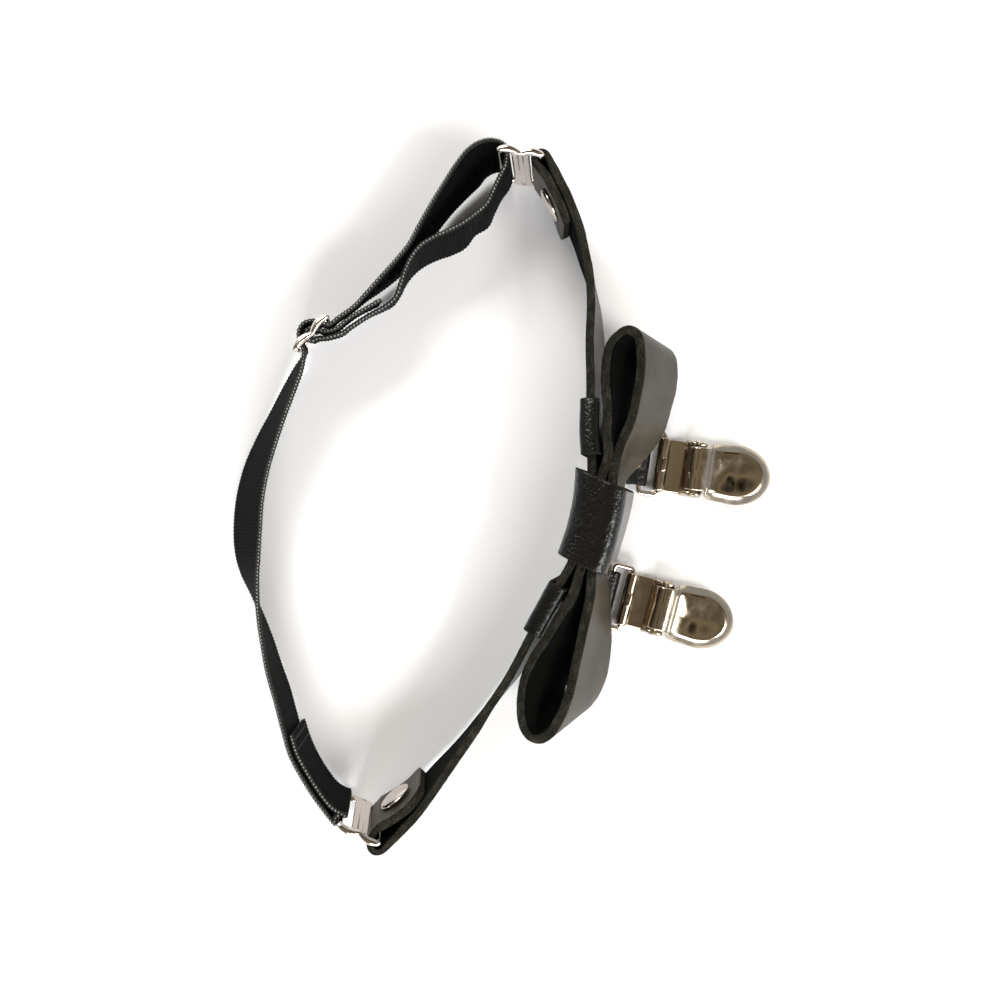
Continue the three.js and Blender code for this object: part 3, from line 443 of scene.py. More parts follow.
strap_run = read_rows(STRAP_RUN, STRAP)
run_places = np.linspace(0, len(strap_run) - 1, 201)
run_steps = np.linalg.norm(np.diff(curve_points(strap_run[:, :3], run_places), axis=0), axis=1)
run_reach = np.concatenate([[0], np.cumsum(run_steps)])
RUN_LENGTH = run_reach[-1]


def strap_at(length):
    """The strap's section at a length along its run: rim, foot, way along it, way down it and way out."""
    place = np.interp(length, run_reach, run_places)
    near = np.clip([place - 0.003, place, place + 0.003], 0, len(strap_run) - 1)
    rims = curve_points(strap_run[:, :3], near)
    feet = curve_points(strap_run[:, 3:6], near)
    way = unit(unit(rims[2] - rims[0]) + unit(feet[2] - feet[0]))
    down = unit(feet[1] - rims[1])
    return rims[1], feet[1], way, down, unit(np.cross(down, way))


def laid_on(length, distance, spec, trim=0.0):
    """A row of a band that lies against the strap, its middle at a distance out from the strap's."""
    rim, foot, _, down, out = strap_at(length)
    rim = rim + out * distance + down * trim
    foot = foot + out * distance - down * trim
    return np.array([[*rim, *foot, spec["thick"]]])


def strap_rows():
    fold = BUCKLE["bar"] + 0.35 + STRAP["skived"] / 2
    left = [laid_on(length, -apart, STRAP, trim) for length, apart, trim in reversed(LEFT_FLAP)]
    right = [laid_on(RUN_LENGTH - length, -apart, STRAP, trim) for length, apart, trim in RIGHT_FLAP]
    return np.vstack([
        *left,
        *[beside(LEFT_CONNECTOR, along, out, STRAP, STRAP["skived"]) for along, out in LEFT_FOLD],
        strap_run,
        round_bar(RIGHT_CONNECTOR, -1, fold, start=-63, end=117, steps=8, spec=STRAP, thick=STRAP["skived"]),
        *right,
    ])


def bow_rows():
    return np.vstack([
        *[laid_on(length, distance, BOW) for length, distance in OUTER_LEAF],
        read_rows(LEFT_LOOP, BOW),
        *[laid_on(length, distance, BOW) for length, distance in INNER_LEAF],
        read_rows(RIGHT_LOOP, BOW),
    ])


def elastic_rows():
    turn = BUCKLE["bar"] + 0.6 + ELASTIC["thick"] / 2
    return np.vstack([
        read_rows(SEWN_TAIL, ELASTIC),
        *[beside(SLIDER, along, out, ELASTIC) for along, out in TAIL_IN_SLIDER],
        read_rows(INNER_LAYER, ELASTIC),
        read_rows(OUTER_LAYER, ELASTIC),
        *[beside(SLIDER, along, out, ELASTIC) for along, out in OUTER_IN_SLIDER],
        read_rows(LOWER_RUN, ELASTIC),
        round_bar(LEFT_CONNECTOR, -1, turn, start=126, end=-50, steps=7, spec=ELASTIC),
        read_rows(SEWN_FOLD, ELASTIC),
    ])


# Points from row to row on which a band's length is measured
FINE = 24


def stations(lines, thicks, step, closed=False, ends=0.0):
    """A band's lines and thickness at even steps, with closer ones at rounded ends.
    Also the length reached at each, how far the section is drawn in there, and the full length."""
    def pick(values):
        return np.column_stack([np.interp(at, reach, column) for column in values.T])

    spans = len(thicks) - (0 if closed else 1)
    places = np.linspace(0, spans, spans * FINE + 1)
    fine = [curve_points(line, places % len(thicks) if closed else places, closed) for line in lines]
    thick = curve_points(np.asarray(thicks)[:, None], places % len(thicks) if closed else places, closed)
    middle = (fine[0] + fine[-1]) / 2
    reach = np.concatenate([[0], np.cumsum(np.linalg.norm(np.diff(middle, axis=0), axis=1))])
    full = reach[-1]
    if closed:
        at = np.arange(round(full / step)) * full / round(full / step)
        drawn_in = np.zeros(len(at))
    else:
        bend = np.radians([0, 25, 50, 75])
        inner = np.linspace(ends, full - ends, round((full - 2 * ends) / step) + 1)
        at = np.concatenate([ends * (1 - np.cos(bend)), inner, full - ends * (1 - np.cos(bend[::-1]))])
        drawn_in = np.concatenate([ends * (1 - np.sin(bend)), 0 * inner, ends * (1 - np.sin(bend[::-1]))])
    return np.array([pick(line) for line in fine]), pick(thick)[:, 0], at, drawn_in, full


def band_section(corner, across, edge, rounding):
    """Half of a band's section, from the middle of its rim edge over one face to the middle of its foot edge.
    Columns: share of the width, mm on top of it, share of half the thickness, mm on top of it,
    how far it faces down, how far it faces out, and 1 on the face."""
    turns = np.linspace(0, math.pi / 2, rounding + 1)
    level = [(0, 0, h, -h * corner, -1, 0, 0) for h in np.arange(edge) / edge]
    bent = np.column_stack([
        0 * turns, corner * (1 - np.cos(turns)), 0 * turns + 1, -corner * (1 - np.sin(turns)),
        -np.cos(turns), np.sin(turns), 0 * turns,
    ])
    rim = np.vstack([level, bent])
    face = np.array([(s, corner * (1 - 2 * s), 1, 0, 0, 1, 1) for s in np.linspace(0, 1, across + 1)[1:-1]])
    foot = rim[::-1] * (1, -1, 1, 1, -1, 1, 1) + (1, 0, 0, 0, 0, 0, 0)
    foot[:, 0] = 1
    return np.vstack([rim, face, foot])


def band_points(lines, thick, drawn_in, section, closed):
    """Points of a band with that half section on both its sides, and the way each faces.
    Also how far down the band each is, its side of the section, and whether it is on a face."""
    down = unit(lines[-1] - lines[0])
    width = np.linalg.norm(np.diff(lines, axis=0), axis=2).sum(axis=0)[:, None]
    if closed:
        way = np.roll(lines, -1, axis=1) - np.roll(lines, 1, axis=1)
    else:
        way = np.gradient(lines, axis=1)
    out = unit(np.cross(down[None], unit(way)))
    side = np.concatenate([np.ones(len(section)), -np.ones(len(section) - 2)])
    whole = np.vstack([section, section[-2:0:-1]])
    inset = drawn_in[:, None]
    down_mm = inset + whole[:, 0] * (width - 2 * inset) + whole[:, 1]
    out_mm = side * (whole[:, 2] * (thick[:, None] / 2 - inset) + whole[:, 3])
    share = np.clip(down_mm / width, 0, 1) * (len(lines) - 1)
    low = np.minimum(share.astype(int), len(lines) - 2)
    part = (share - low)[..., None]
    station = np.arange(lines.shape[1])[:, None]
    base = lines[low, station] * (1 - part) + lines[low + 1, station] * part
    outward = unit(out[low, station] * (1 - part) + out[low + 1, station] * part)
    facing = down[:, None] * whole[:, 4][None, :, None] + outward * (side * whole[:, 5])[None, :, None]
    return base + outward * out_mm[..., None], facing, down_mm, side, whole[:, 6] > 0


def ring_faces(rows, columns, closed):
    """Quads between rows of closed loops, as indices, in order of rows and then columns."""
    spans = rows if closed else rows - 1
    i = np.repeat(np.arange(spans), columns)
    k = np.tile(np.arange(columns), spans)
    following, beyond = (k + 1) % columns, (i + 1) % rows
    here, there = i * columns, beyond * columns
    return np.column_stack([here + k, here + following, there + following, there + k])


def quad_places(by_row, by_column, count):
    """The place of each corner of so many quads: by its row, then by its column."""
    i, k = np.divmod(np.arange(count), len(by_column) - 1)
    corners = ((0, 0), (0, 1), (1, 1), (1, 0))
    return np.stack([np.stack([by_row[i + a], by_column[k + b]], -1) for a, b in corners], 1)


def tube_faces(rows, columns, closed=False):
    """Quads between rows of closed loops, as lists, with a cap over each end where the tube is open."""
    faces = ring_faces(rows, columns, closed).tolist()
    if not closed:
        faces.append(list(range(columns)))
        faces.append([(rows - 1) * columns + k for k in range(columns)])
    return faces


def grit(points, size, seed):
    """Smooth random values from -1 to 1 on a lattice of that size, the same each time for a seed."""
    cell = points / size
    low = np.floor(cell).astype(np.int64)
    part = cell - low
    part = part * part * (3 - 2 * part)
    total = 0.0
    for corner in np.ndindex(2, 2, 2):
        at = low + corner
        mixed = (at[..., 0] * 73856093) ^ (at[..., 1] * 19349663) ^ (at[..., 2] * 83492791) ^ (seed * 6542989)
        mixed = ((mixed ^ (mixed >> 13)) * 1274126177) & 0x7FFFFFFF
        mixed = ((mixed ^ (mixed >> 15)) * 668265263) & 0x7FFFFFFF
        value = mixed / 0x3FFFFFFF - 1
        total = total + value * np.prod(np.where(corner, part, 1 - part), axis=-1)
    return total


# Pieces
def add_piece(name, node, body, points, faces, finishes, looks=None, uv=None, sharp=None):
    """Makes a mesh piece of points in the tables' millimetres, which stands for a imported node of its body."""
    mesh = bpy.data.meshes.new(name)
    mesh.from_pydata(((points - MIDDLE) * MM).tolist(), [], [list(face) for face in faces])
    for finish in finishes:
        mesh.materials.append(finish)
    if looks is not None:
        mesh.polygons.foreach_set("material_index", np.asarray(looks, np.int32))
    if uv is not None:
        layer = mesh.uv_layers.new(name="flat")
        layer.data.foreach_set("uv", np.asarray(uv, np.float32).ravel())
    shell = bmesh.new()
    shell.from_mesh(mesh)
    bmesh.ops.recalc_face_normals(shell, faces=shell.faces)
    shell.to_mesh(mesh)
    shell.free()
    mesh.shade_smooth()
    if sharp is not None:
        mesh.set_sharp_from_angle(angle=math.radians(sharp))
    piece = bpy.data.objects.new(name, mesh)
    bpy.context.scene.collection.objects.link(piece)
    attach(piece, body)
    if node:
        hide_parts(node)
    return piece


def add_band(name, node, lines, thicks, section, step, finishes, closed=False, ends=0.0, relief=None):
    """A strip of leather or webbing. finishes are those of its out side, its cut edge and its in side."""
    lines, thick, at, drawn_in, full = stations(lines, thicks, step, closed, ends)
    points, facing, down_mm, side, on_face = band_points(lines, thick, drawn_in, section, closed)
    if relief:
        points = points + facing * relief(points, at[:, None], down_mm, side, on_face)[..., None]
    rows, columns = points.shape[:2]
    faces = ring_faces(rows, columns, closed)
    around = np.linalg.norm(np.diff(np.vstack([points[rows // 2], points[rows // 2][:1]]), axis=0), axis=1)
    v = np.concatenate([[0], np.cumsum(around)])
    u = np.append(at, full)
    uv = quad_places(u, v, len(faces))
    column = np.arange(columns)
    edge = ~on_face & ~on_face[(column + 1) % columns]
    look = np.where(edge, 1, np.where(column < len(section) - 1, 0, 2))
    faces, looks, uv = faces.tolist(), np.tile(look, len(faces) // columns).tolist(), list(uv.reshape(-1, 2))
    if not closed:
        # Cut ends, as strips from the one side of the section to the other
        for row in (0, rows - 1):
            for k in range(len(section) - 1):
                strip = [row * columns + n % columns for n in (k, k + 1, columns - k - 1, columns - k)]
                strip = list(dict.fromkeys(strip))
                faces.append(strip)
                looks.append(1)
                uv += [(u[row] + (n % columns > len(section)) * thick[row], v[n % columns]) for n in strip]
    flat = points.reshape(-1, 3)
    return add_piece(name, node, "harness", flat, faces, finishes, looks, uv)


def swept(path, radii, sides, closed=False, up=(0.0, 0.0, 1.0)):
    """Points and quads of a round bar along a path, with end caps where it is open."""
    path = np.asarray(path, float)
    way = unit(np.roll(path, -1, 0) - np.roll(path, 1, 0)) if closed else unit(np.gradient(path, axis=0))
    aside = unit(np.cross(way, np.broadcast_to(up, way.shape)))
    upward = np.cross(aside, way)
    angle = np.arange(sides) * 2 * math.pi / sides
    radii = np.broadcast_to(radii, len(path))[:, None, None]
    spokes = aside[:, None] * np.cos(angle)[:, None] + upward[:, None] * np.sin(angle)[:, None]
    loops = path[:, None] + radii * spokes
    return loops.reshape(-1, 3), tube_faces(len(path), sides, closed)


def turned(profile, sides, at, faces_way):
    """Points and quads of a piece turned about its axis, from rows of radius and height."""
    axis = unit(np.asarray(faces_way, float))
    first = unit(np.cross(axis, (0.3, 0.2, 0.93)))
    second = np.cross(axis, first)
    angle = np.arange(sides) * 2 * math.pi / sides
    spin = first * np.cos(angle)[:, None] + second * np.sin(angle)[:, None]
    rings = [at + axis * height + spin * max(radius, 1e-3) for radius, height in profile]
    return np.vstack(rings), tube_faces(len(rings), sides)


def joined(parts):
    """Several points and faces as one."""
    points, faces, start = [], [], 0
    for some_points, some_faces in parts:
        points.append(some_points)
        faces += [[start + k for k in face] for face in some_faces]
        start += len(some_points)
    return np.vstack(points), faces


def pressed_sheet(grid, thick):
    """Points and quads of a metal sheet round a grid of points on its middle, with rounded edges."""
    rows, columns = grid.shape[:2]
    along = np.gradient(grid, axis=0)
    across = np.gradient(grid, axis=1)
    normal = unit(np.cross(along, across))
    low, high = np.arange(rows - 1), np.arange(rows - 1, 0, -1)
    left, right = np.arange(columns - 1), np.arange(columns - 1, 0, -1)
    i = np.concatenate([0 * left, low, 0 * right + rows - 1, high])
    k = np.concatenate([left, 0 * low + columns - 1, right, 0 * high])
    inward_i = np.clip(i, 1, rows - 2)
    inward_k = np.clip(k, 1, columns - 2)
    outward = unit(grid[i, k] - grid[inward_i, inward_k])
    rim = []
    for angle in np.radians([60, 30, 0, -30, -60]):
        rim.append(grid[i, k] + thick / 2 * (outward * math.cos(angle) + normal[i, k] * math.sin(angle)))
    count = rows * columns
    upper_side = (grid + normal * thick / 2).reshape(-1, 3)
    lower_side = (grid - normal * thick / 2).reshape(-1, 3)
    points = np.vstack([upper_side, lower_side, *rim])
    faces = []
    for start in (0, count):
        for a in range(rows - 1):
            for b in range(columns - 1):
                corner = start + a * columns + b
                faces.append([corner, corner + 1, corner + columns + 1, corner + columns])
    upper = i * columns + k
    loops = [upper, *[2 * count + n * len(i) + np.arange(len(i)) for n in range(len(rim))], upper + count]
    for one, other in zip(loops, loops[1:]):
        for n in range(len(i)):
            m = (n + 1) % len(i)
            faces.append([int(one[n]), int(one[m]), int(other[m]), int(other[n])])
    return points, faces


def melted(piece, voxel, smoothing):
    """Runs a piece's shells into one cast body with soft fillets."""
    remesh = piece.modifiers.new("cast", "REMESH")
    remesh.mode = "VOXEL"
    remesh.voxel_size = voxel * MM
    smooth = piece.modifiers.new("fillet", "SMOOTH")
    smooth.factor = 0.5
    smooth.iterations = smoothing
    graph = bpy.context.evaluated_depsgraph_get()
    cast = bpy.data.meshes.new_from_object(piece.evaluated_get(graph))
    finish = piece.data.materials[0]
    piece.modifiers.clear()
    piece.data = cast
    cast.materials.clear()
    cast.materials.append(finish)
    cast.shade_smooth()
    return piece


# Finishes
def linear(hex_colour):
    """Linear RGBA of an sRGB hex colour."""
    channels = [int(hex_colour[n:n + 2], 16) / 255 for n in (1, 3, 5)]
    return (*[c / 12.92 if c <= 0.04045 else ((c + 0.055) / 1.055) ** 2.4 for c in channels], 1.0)


def add(tree, kind, settings=None, stops=(), to=None, **inputs):
    """Adds a node with its settings, its colour stops and a link from its first output to a socket.
    Its inputs are set or linked by name with _ for each space, or by _ and a number."""
    node = tree.nodes.new(kind)
    for name, value in (settings or {}).items():
        setattr(node, name, value)
    for n, (place, colour) in enumerate(stops):
        element = node.color_ramp.elements[n] if n < 2 else node.color_ramp.elements.new(place)
        element.position = place
        element.color = linear(colour)
    for name, value in inputs.items():
        socket = node.inputs[int(name[1:])] if name[1:].isdigit() else node.inputs[name.replace("_", " ")]
        if isinstance(value, bpy.types.NodeSocket):
            tree.links.new(value, socket)
        else:
            socket.default_value = value
    if to is not None:
        tree.links.new(node.outputs[0], to)
    return node


def new_finish(name, **constants):
    """A material, its tree and its shader, with the shader's constants set on its own sockets."""
    finish = bpy.data.materials.new(name)
    finish.use_nodes = True
    tree = finish.node_tree
    shader = tree.nodes["Principled BSDF"]
    for socket, value in constants.items():
        shader.inputs[socket.replace("_", " ")].default_value = value
    return finish, tree, shader


def finished_leather():
    """Bonded leather with a satin polyurethane finish: fine pebbled grain that shines grey at a low angle."""
    finish, tree, shader = new_finish("satin_finished_leather", Roughness=0.42, IOR=1.38)
    flat = add(tree, "ShaderNodeUVMap", {"uv_map": "flat"}).outputs["UV"]
    # Pebbles of the pressed grain, about 0.5 mm
    pebbles = add(
        tree, "ShaderNodeTexVoronoi", {"feature": "SMOOTH_F1"}, Vector=flat, Scale=1 / 0.5, Smoothness=0.6
    )
    # Draw of the strip over the bench, streaks of about 0.6 by 7 mm across its width
    drawn = add(tree, "ShaderNodeMapping", Vector=flat, Scale=(1 / 0.6, 1 / 7, 1.0))
    streaks = add(tree, "ShaderNodeTexNoise", Vector=drawn.outputs["Vector"], Scale=1.0, Detail=3.0)
    # Patches of tone about 9 mm across
    tone = add(tree, "ShaderNodeTexNoise", Vector=flat, Scale=1 / 9, Detail=3.0)
    mixed = add(
        tree, "ShaderNodeMath", {"operation": "MULTIPLY_ADD"},
        _0=streaks.outputs["Fac"], _1=0.6, _2=tone.outputs["Fac"],
    )
    add(
        tree, "ShaderNodeValToRGB", stops=((0.6, "#252119"), (1.0, "#3b3529")),
        Fac=mixed.outputs["Value"], to=shader.inputs["Base Color"],
    )
    add(
        tree, "ShaderNodeMapRange", Value=streaks.outputs["Fac"], To_Min=0.36, To_Max=0.5,
        to=shader.inputs["Roughness"],
    )
    add(
        tree, "ShaderNodeBump", Height=pebbles.outputs["Distance"], Strength=0.22, Distance=0.05 * MM,
        to=shader.inputs["Normal"],
    )
    return finish


def cut_fibre(name, dark, light, fleck):
    """Cut edge or flesh side of bonded leather: short fibres that swallow light, with paler flecks."""
    finish, tree, shader = new_finish(name, Roughness=0.95, IOR=1.15)
    flat = add(tree, "ShaderNodeUVMap", {"uv_map": "flat"}).outputs["UV"]
    # Bundles of fibre 0.3 mm across, twice as coarse as real ones so that they show, in patches of 3.5 mm
    bundles = add(tree, "ShaderNodeTexNoise", Vector=flat, Scale=1 / 0.3, Detail=5.0, Roughness=0.8)
    patches = add(tree, "ShaderNodeTexNoise", Vector=flat, Scale=1 / 3.5, Detail=2.0)
    mixed = add(
        tree, "ShaderNodeMath", {"operation": "MULTIPLY_ADD"},
        _0=patches.outputs["Fac"], _1=0.2, _2=bundles.outputs["Fac"],
    )
    add(
        tree, "ShaderNodeValToRGB", stops=((0.5, dark), (0.64, light), (0.74, fleck)),
        Fac=mixed.outputs["Value"], to=shader.inputs["Base Color"],
    )
    add(
        tree, "ShaderNodeBump", Height=bundles.outputs["Fac"], Strength=0.8, Distance=0.16 * MM,
        to=shader.inputs["Normal"],
    )
    return finish


def glossy_leather():
    """Calf leather with a glossy plated finish: tight creased grain under a clear film, sharp highlights."""
    finish, tree, shader = new_finish(
        "glossy_plated_leather", Roughness=0.3, IOR=1.36, Coat_Weight=0.12, Coat_Roughness=0.18
    )
    flat = add(tree, "ShaderNodeUVMap", {"uv_map": "flat"}).outputs["UV"]
    # Pebbles of 0.7 mm on soft folds of 2.6 mm
    pebbles = add(
        tree, "ShaderNodeTexVoronoi", {"feature": "SMOOTH_F1"}, Vector=flat, Scale=1 / 0.7, Smoothness=0.5
    )
    folds = add(tree, "ShaderNodeTexNoise", Vector=flat, Scale=1 / 2.6, Detail=4.0, Distortion=0.8)
    height = add(
        tree, "ShaderNodeMath", {"operation": "MULTIPLY_ADD"},
        _0=pebbles.outputs["Distance"], _1=-1.3, _2=folds.outputs["Fac"],
    )
    add(
        tree, "ShaderNodeValToRGB", stops=((0.3, "#070706"), (0.75, "#11110f")),
        Fac=folds.outputs["Fac"], to=shader.inputs["Base Color"],
    )
    add(
        tree, "ShaderNodeBump", Height=height.outputs["Value"], Strength=0.7, Distance=0.14 * MM,
        to=shader.inputs["Normal"],
    )
    return finish


def woven_elastic():
    """Woven elastic of polyester over rubber: matt black crosswise ribs of yarn."""
    finish, tree, shader = new_finish("ribbed_polyester_elastic", Roughness=0.8, IOR=1.15)
    flat = add(tree, "ShaderNodeUVMap", {"uv_map": "flat"}).outputs["UV"]
    # Yarn loops 0.45 mm long across the ribs
    yarn = add(tree, "ShaderNodeMapping", Vector=flat, Scale=(1 / ELASTIC["rib"], 1 / 0.45, 1.0))
    loops = add(tree, "ShaderNodeTexVoronoi", Vector=yarn.outputs["Vector"], Scale=1.0, Randomness=0.35)
    add(
        tree, "ShaderNodeValToRGB", stops=((0.1, "#10100f"), (0.7, "#030303")),
        Fac=loops.outputs["Distance"], to=shader.inputs["Base Color"],
    )
    add(
        tree, "ShaderNodeBump", {"invert": True},
        Height=loops.outputs["Distance"], Strength=0.7, Distance=0.12 * MM, to=shader.inputs["Normal"],
    )
    return finish


def selvedge_weft_and_glints():
    """Selvedge of the elastic, where the weft turns back: a row of pale dots between black warp ends, partly
    the weft yarn's own paler colour and partly painted highlights on its beads.
    """
    finish, tree, shader = new_finish("selvedge_weft_dots_and_painted_glints", Roughness=0.6, Specular_IOR_Level=0.4)
    flat = add(tree, "ShaderNodeUVMap", {"uv_map": "flat"}).outputs["UV"]
    place = add(tree, "ShaderNodeSeparateXYZ", Vector=flat)
    # A dot each rib, 0.45 mm across, in the middle of the edge: how far along from its middle, and how far up
    half_rib = ELASTIC["rib"] / 2
    half_girth = (ELASTIC["width"] + ELASTIC["thick"]) / 2
    along = add(tree, "ShaderNodeMath", {"operation": "PINGPONG"}, _0=place.outputs["X"], _1=half_rib)
    aside = add(tree, "ShaderNodeMath", {"operation": "PINGPONG"}, _0=place.outputs["Y"], _1=half_girth)
    both = add(tree, "ShaderNodeCombineXYZ", X=along.outputs["Value"], Y=aside.outputs["Value"])
    off = add(tree, "ShaderNodeVectorMath", {"operation": "LENGTH"}, Vector=both.outputs["Vector"])
    # The dots vary over 1.6 mm, as the yarn's twist does
    twist = add(tree, "ShaderNodeTexNoise", Vector=flat, Scale=1 / 1.6, Detail=2.0)
    uneven = add(
        tree, "ShaderNodeMath", {"operation": "MULTIPLY_ADD"},
        _0=twist.outputs["Fac"], _1=0.3, _2=off.outputs["Value"],
    )
    # Pale dots on near black: painted highlights on the selvedge beads, over the weft yarn's own paler colour
    add(
        tree, "ShaderNodeValToRGB", stops=((0.32, "#96958d"), (0.46, "#0a0a09")),
        Fac=uneven.outputs["Value"], to=shader.inputs["Base Color"],
    )
    return finish


def plated_metal(name, colour, roughness, scuffs):
    """Nickel plating polished before the bath: a bright mirror with fine dents and a thin uneven haze."""
    finish, tree, shader = new_finish(name, Metallic=1.0, Roughness=roughness)
    shader.inputs["Base Color"].default_value = linear(colour)
    place = add(tree, "ShaderNodeTexCoord").outputs["Object"]
    # Haze in patches of 3 mm and dents of 0.25 mm, coarser than real ones so that they show
    haze = add(tree, "ShaderNodeTexNoise", Vector=place, Scale=1 / (3 * MM), Detail=4.0)
    dents = add(tree, "ShaderNodeTexNoise", Vector=place, Scale=1 / (0.25 * MM), Detail=2.0)
    add(
        tree, "ShaderNodeMapRange", Value=haze.outputs["Fac"], From_Min=0.3, From_Max=0.7,
        To_Min=roughness * 0.7, To_Max=roughness * 1.5, to=shader.inputs["Roughness"],
    )
    add(
        tree, "ShaderNodeBump", Height=dents.outputs["Fac"], Strength=scuffs, Distance=0.01 * MM,
        to=shader.inputs["Normal"],
    )
    return finish


def sewing_thread():
    """Black bonded polyester sewing thread, with a soft shine on its twist."""
    finish, tree, shader = new_finish("bonded_sewing_thread", Roughness=0.5, Specular_IOR_Level=0.5)
    place = add(tree, "ShaderNodeTexCoord").outputs["Object"]
    # Twist of 0.3 mm
    twist = add(tree, "ShaderNodeTexNoise", Vector=place, Scale=1 / (0.3 * MM), Detail=2.0)
    add(
        tree, "ShaderNodeValToRGB", stops=((0.3, "#0f0f0e"), (0.8, "#262624")),
        Fac=twist.outputs["Fac"], to=shader.inputs["Base Color"],
    )
    return finish


satin_leather = finished_leather()
flesh_side = cut_fibre("leather_flesh_side", "#020202", "#060605", "#171613")
cut_edge = cut_fibre("leather_cut_edge", "#10100c", "#23221d", "#59574d")
shiny_leather = glossy_leather()
shiny_cut_edge = cut_fibre("glossy_leather_cut_edge", "#12110e", "#25241e", "#4a4840")
elastic_weave = woven_elastic()
elastic_selvedge = selvedge_weft_and_glints()
bright_nickel = plated_metal("bright_nickel_on_cast_zinc", "#e8dfd8", 0.13, 0.3)
clip_nickel = plated_metal("polished_nickel_on_steel_sheet", "#b8ac99", 0.18, 0.25)
thread = sewing_thread()

# Leather
# Distance from section to section along the leather bands and along the hangers
LEATHER_STEP = 0.45
HANGER_STEP = 0.3


def fibrous(amount):
    """Relief of leather: cut edges stand up in fibres and tufts, the faces about a seventh as far."""
    def relief(points, reach, down_mm, side, on_face):
        fuzz = 0.6 * grit(points, size=0.5, seed=1) + 0.4 * grit(points, size=1.3, seed=2)
        return amount * np.where(on_face, 0.15, 1.0)[None] * fuzz

    return relief


def leather_strap():
    rows = strap_rows()
    section = band_section(corner=0.4, across=22, edge=4, rounding=4)
    return add_band(
        "front_strap", "leather_strap", [rows[:, :3], rows[:, 3:6]], rows[:, 6], section,
        LEATHER_STEP, [satin_leather, cut_edge, flesh_side], ends=0.4, relief=fibrous(0.07),
    )


def bow():
    rows = bow_rows()
    section = band_section(corner=0.4, across=22, edge=5, rounding=4)
    return add_band(
        "bow_loops", "bow", [rows[:, :3], rows[:, 3:6]], rows[:, 6], section,
        LEATHER_STEP, [flesh_side, cut_edge, satin_leather], closed=True, relief=fibrous(0.09),
    )


def rounded_loop(half_across, half_down, corner, steps, straights):
    """Across and down of a rounded rectangle's points: steps in each corner, pieces in each straight."""
    arcs = []
    for sign_across, sign_down, start in ((1, 1, 0), (-1, 1, 90), (-1, -1, 180), (1, -1, 270)):
        turn = np.radians(np.linspace(start, start + 90, steps + 1))
        arcs.append(np.column_stack([
            sign_across * (half_across - corner) + corner * np.cos(turn),
            sign_down * (half_down - corner) + corner * np.sin(turn),
        ]))
    share = np.arange(1, straights)[:, None] / straights
    sides = [one[-1] + (other[0] - one[-1]) * share for one, other in zip(arcs, arcs[1:] + arcs[:1])]
    return np.vstack([part for pair in zip(arcs, sides) for part in pair])


def knot():
    """Sleeve of glossy leather round the strap and both leaves of the bow, slightly pinched in its middle."""
    stack = STRAP["thick"] + 2 * BOW["thick"] + 2 * GAP
    half_across = (stack + KNOT["slack"] + KNOT["slack_inside"]) / 2
    middle_out = (stack - STRAP["thick"] + KNOT["slack"] - KNOT["slack_inside"]) / 2
    half_down = STRAP["width"] / 2 + KNOT["slack"]
    wall = KNOT["wall"]
    inner = rounded_loop(half_across, half_down, corner=0.8, steps=8, straights=14)
    outer = rounded_loop(half_across + wall, half_down + wall, KNOT["corner"], steps=8, straights=14)
    # Rounding of the sleeve's two ends, and how far its middle is pinched
    edge, waist = 0.5, 0.15
    bend = np.radians(np.linspace(0, 90, 6))
    length = KNOT["to"] - KNOT["from"]
    near = edge * (1 - np.cos(bend)) / length
    level = np.linspace(edge / length, 1 - edge / length, 40)[1:-1]
    shares = np.concatenate([near, level, 1 - near[::-1]])
    shrink = np.concatenate([edge * (1 - np.sin(bend)), 0 * level, edge * (1 - np.sin(bend[::-1]))])

    def loop_at(share, plan, grow):
        rim, foot, way, down, out = strap_at(KNOT["from"] + share * length)
        skewed = out - way * (KNOT_SKEW["left"] + share * (KNOT_SKEW["right"] - KNOT_SKEW["left"]))
        centre = (rim + foot) / 2 + skewed * middle_out
        grown = plan + unit(plan) * grow
        return centre + skewed * grown[:, :1] + down * grown[:, 1:]

    rows = [loop_at(s, outer, -g - waist * math.sin(math.pi * s) ** 2) for s, g in zip(shares, shrink)]
    rows += [loop_at(s, inner, 0.0) for s in (1.0, 0.75, 0.5, 0.25, 0.0)]
    points = np.array(rows)
    columns = points.shape[1]
    crowns = points[:len(shares)]
    away = unit(crowns - crowns.mean(axis=1, keepdims=True))
    dents = 0.06 * grit(crowns, size=2.4, seed=5) + 0.025 * grit(crowns, size=0.9, seed=6)
    crowns += away * dents[..., None]
    faces = ring_faces(len(rows), columns, closed=True)
    back = length + wall + np.linspace(0, length, 5)
    reach = np.concatenate([shares * length, back, back[-1:] + wall])
    around = np.concatenate([[0], np.cumsum(np.linalg.norm(np.roll(outer, -1, 0) - outer, axis=1))])
    uv = quad_places(reach, around, len(faces))[..., ::-1]
    # The two rounded ends and the inside show the cut edge's fibre
    row = np.arange(len(faces)) // columns
    looks = np.where((row >= 4) & (row < len(shares) - 5), 0, 1)
    return add_piece(
        "bow_knot_sleeve", "bow_knot", "harness", points.reshape(-1, 3), faces.tolist(),
        [shiny_leather, shiny_cut_edge], looks, uv,
    )


# Clip hangers
def in_clip(clip, points):
    """Points given along, aside and up from the middle of a clip's rolled end."""
    points = np.atleast_2d(np.asarray(points, float))
    turn = math.radians(clip["heading"])
    x = clip["x"] + points[:, 0] * math.cos(turn) - points[:, 1] * math.sin(turn)
    y = clip["y"] + points[:, 0] * math.sin(turn) + points[:, 1] * math.cos(turn)
    return np.column_stack([x, y, points[:, 2]])


def tail_point(clip, aside, up_tail, out):
    """A point on the hanger's tail: aside, up the slope from the ring's bar, out from its plane."""
    slope = math.radians(clip["slope"])
    along = -RING["bar_gap"] - up_tail * math.cos(slope) + out * math.sin(slope)
    up = RING["near_bar_up"] + up_tail * math.sin(slope) + out * math.cos(slope)
    return in_clip(clip, (along, aside, up))[0]


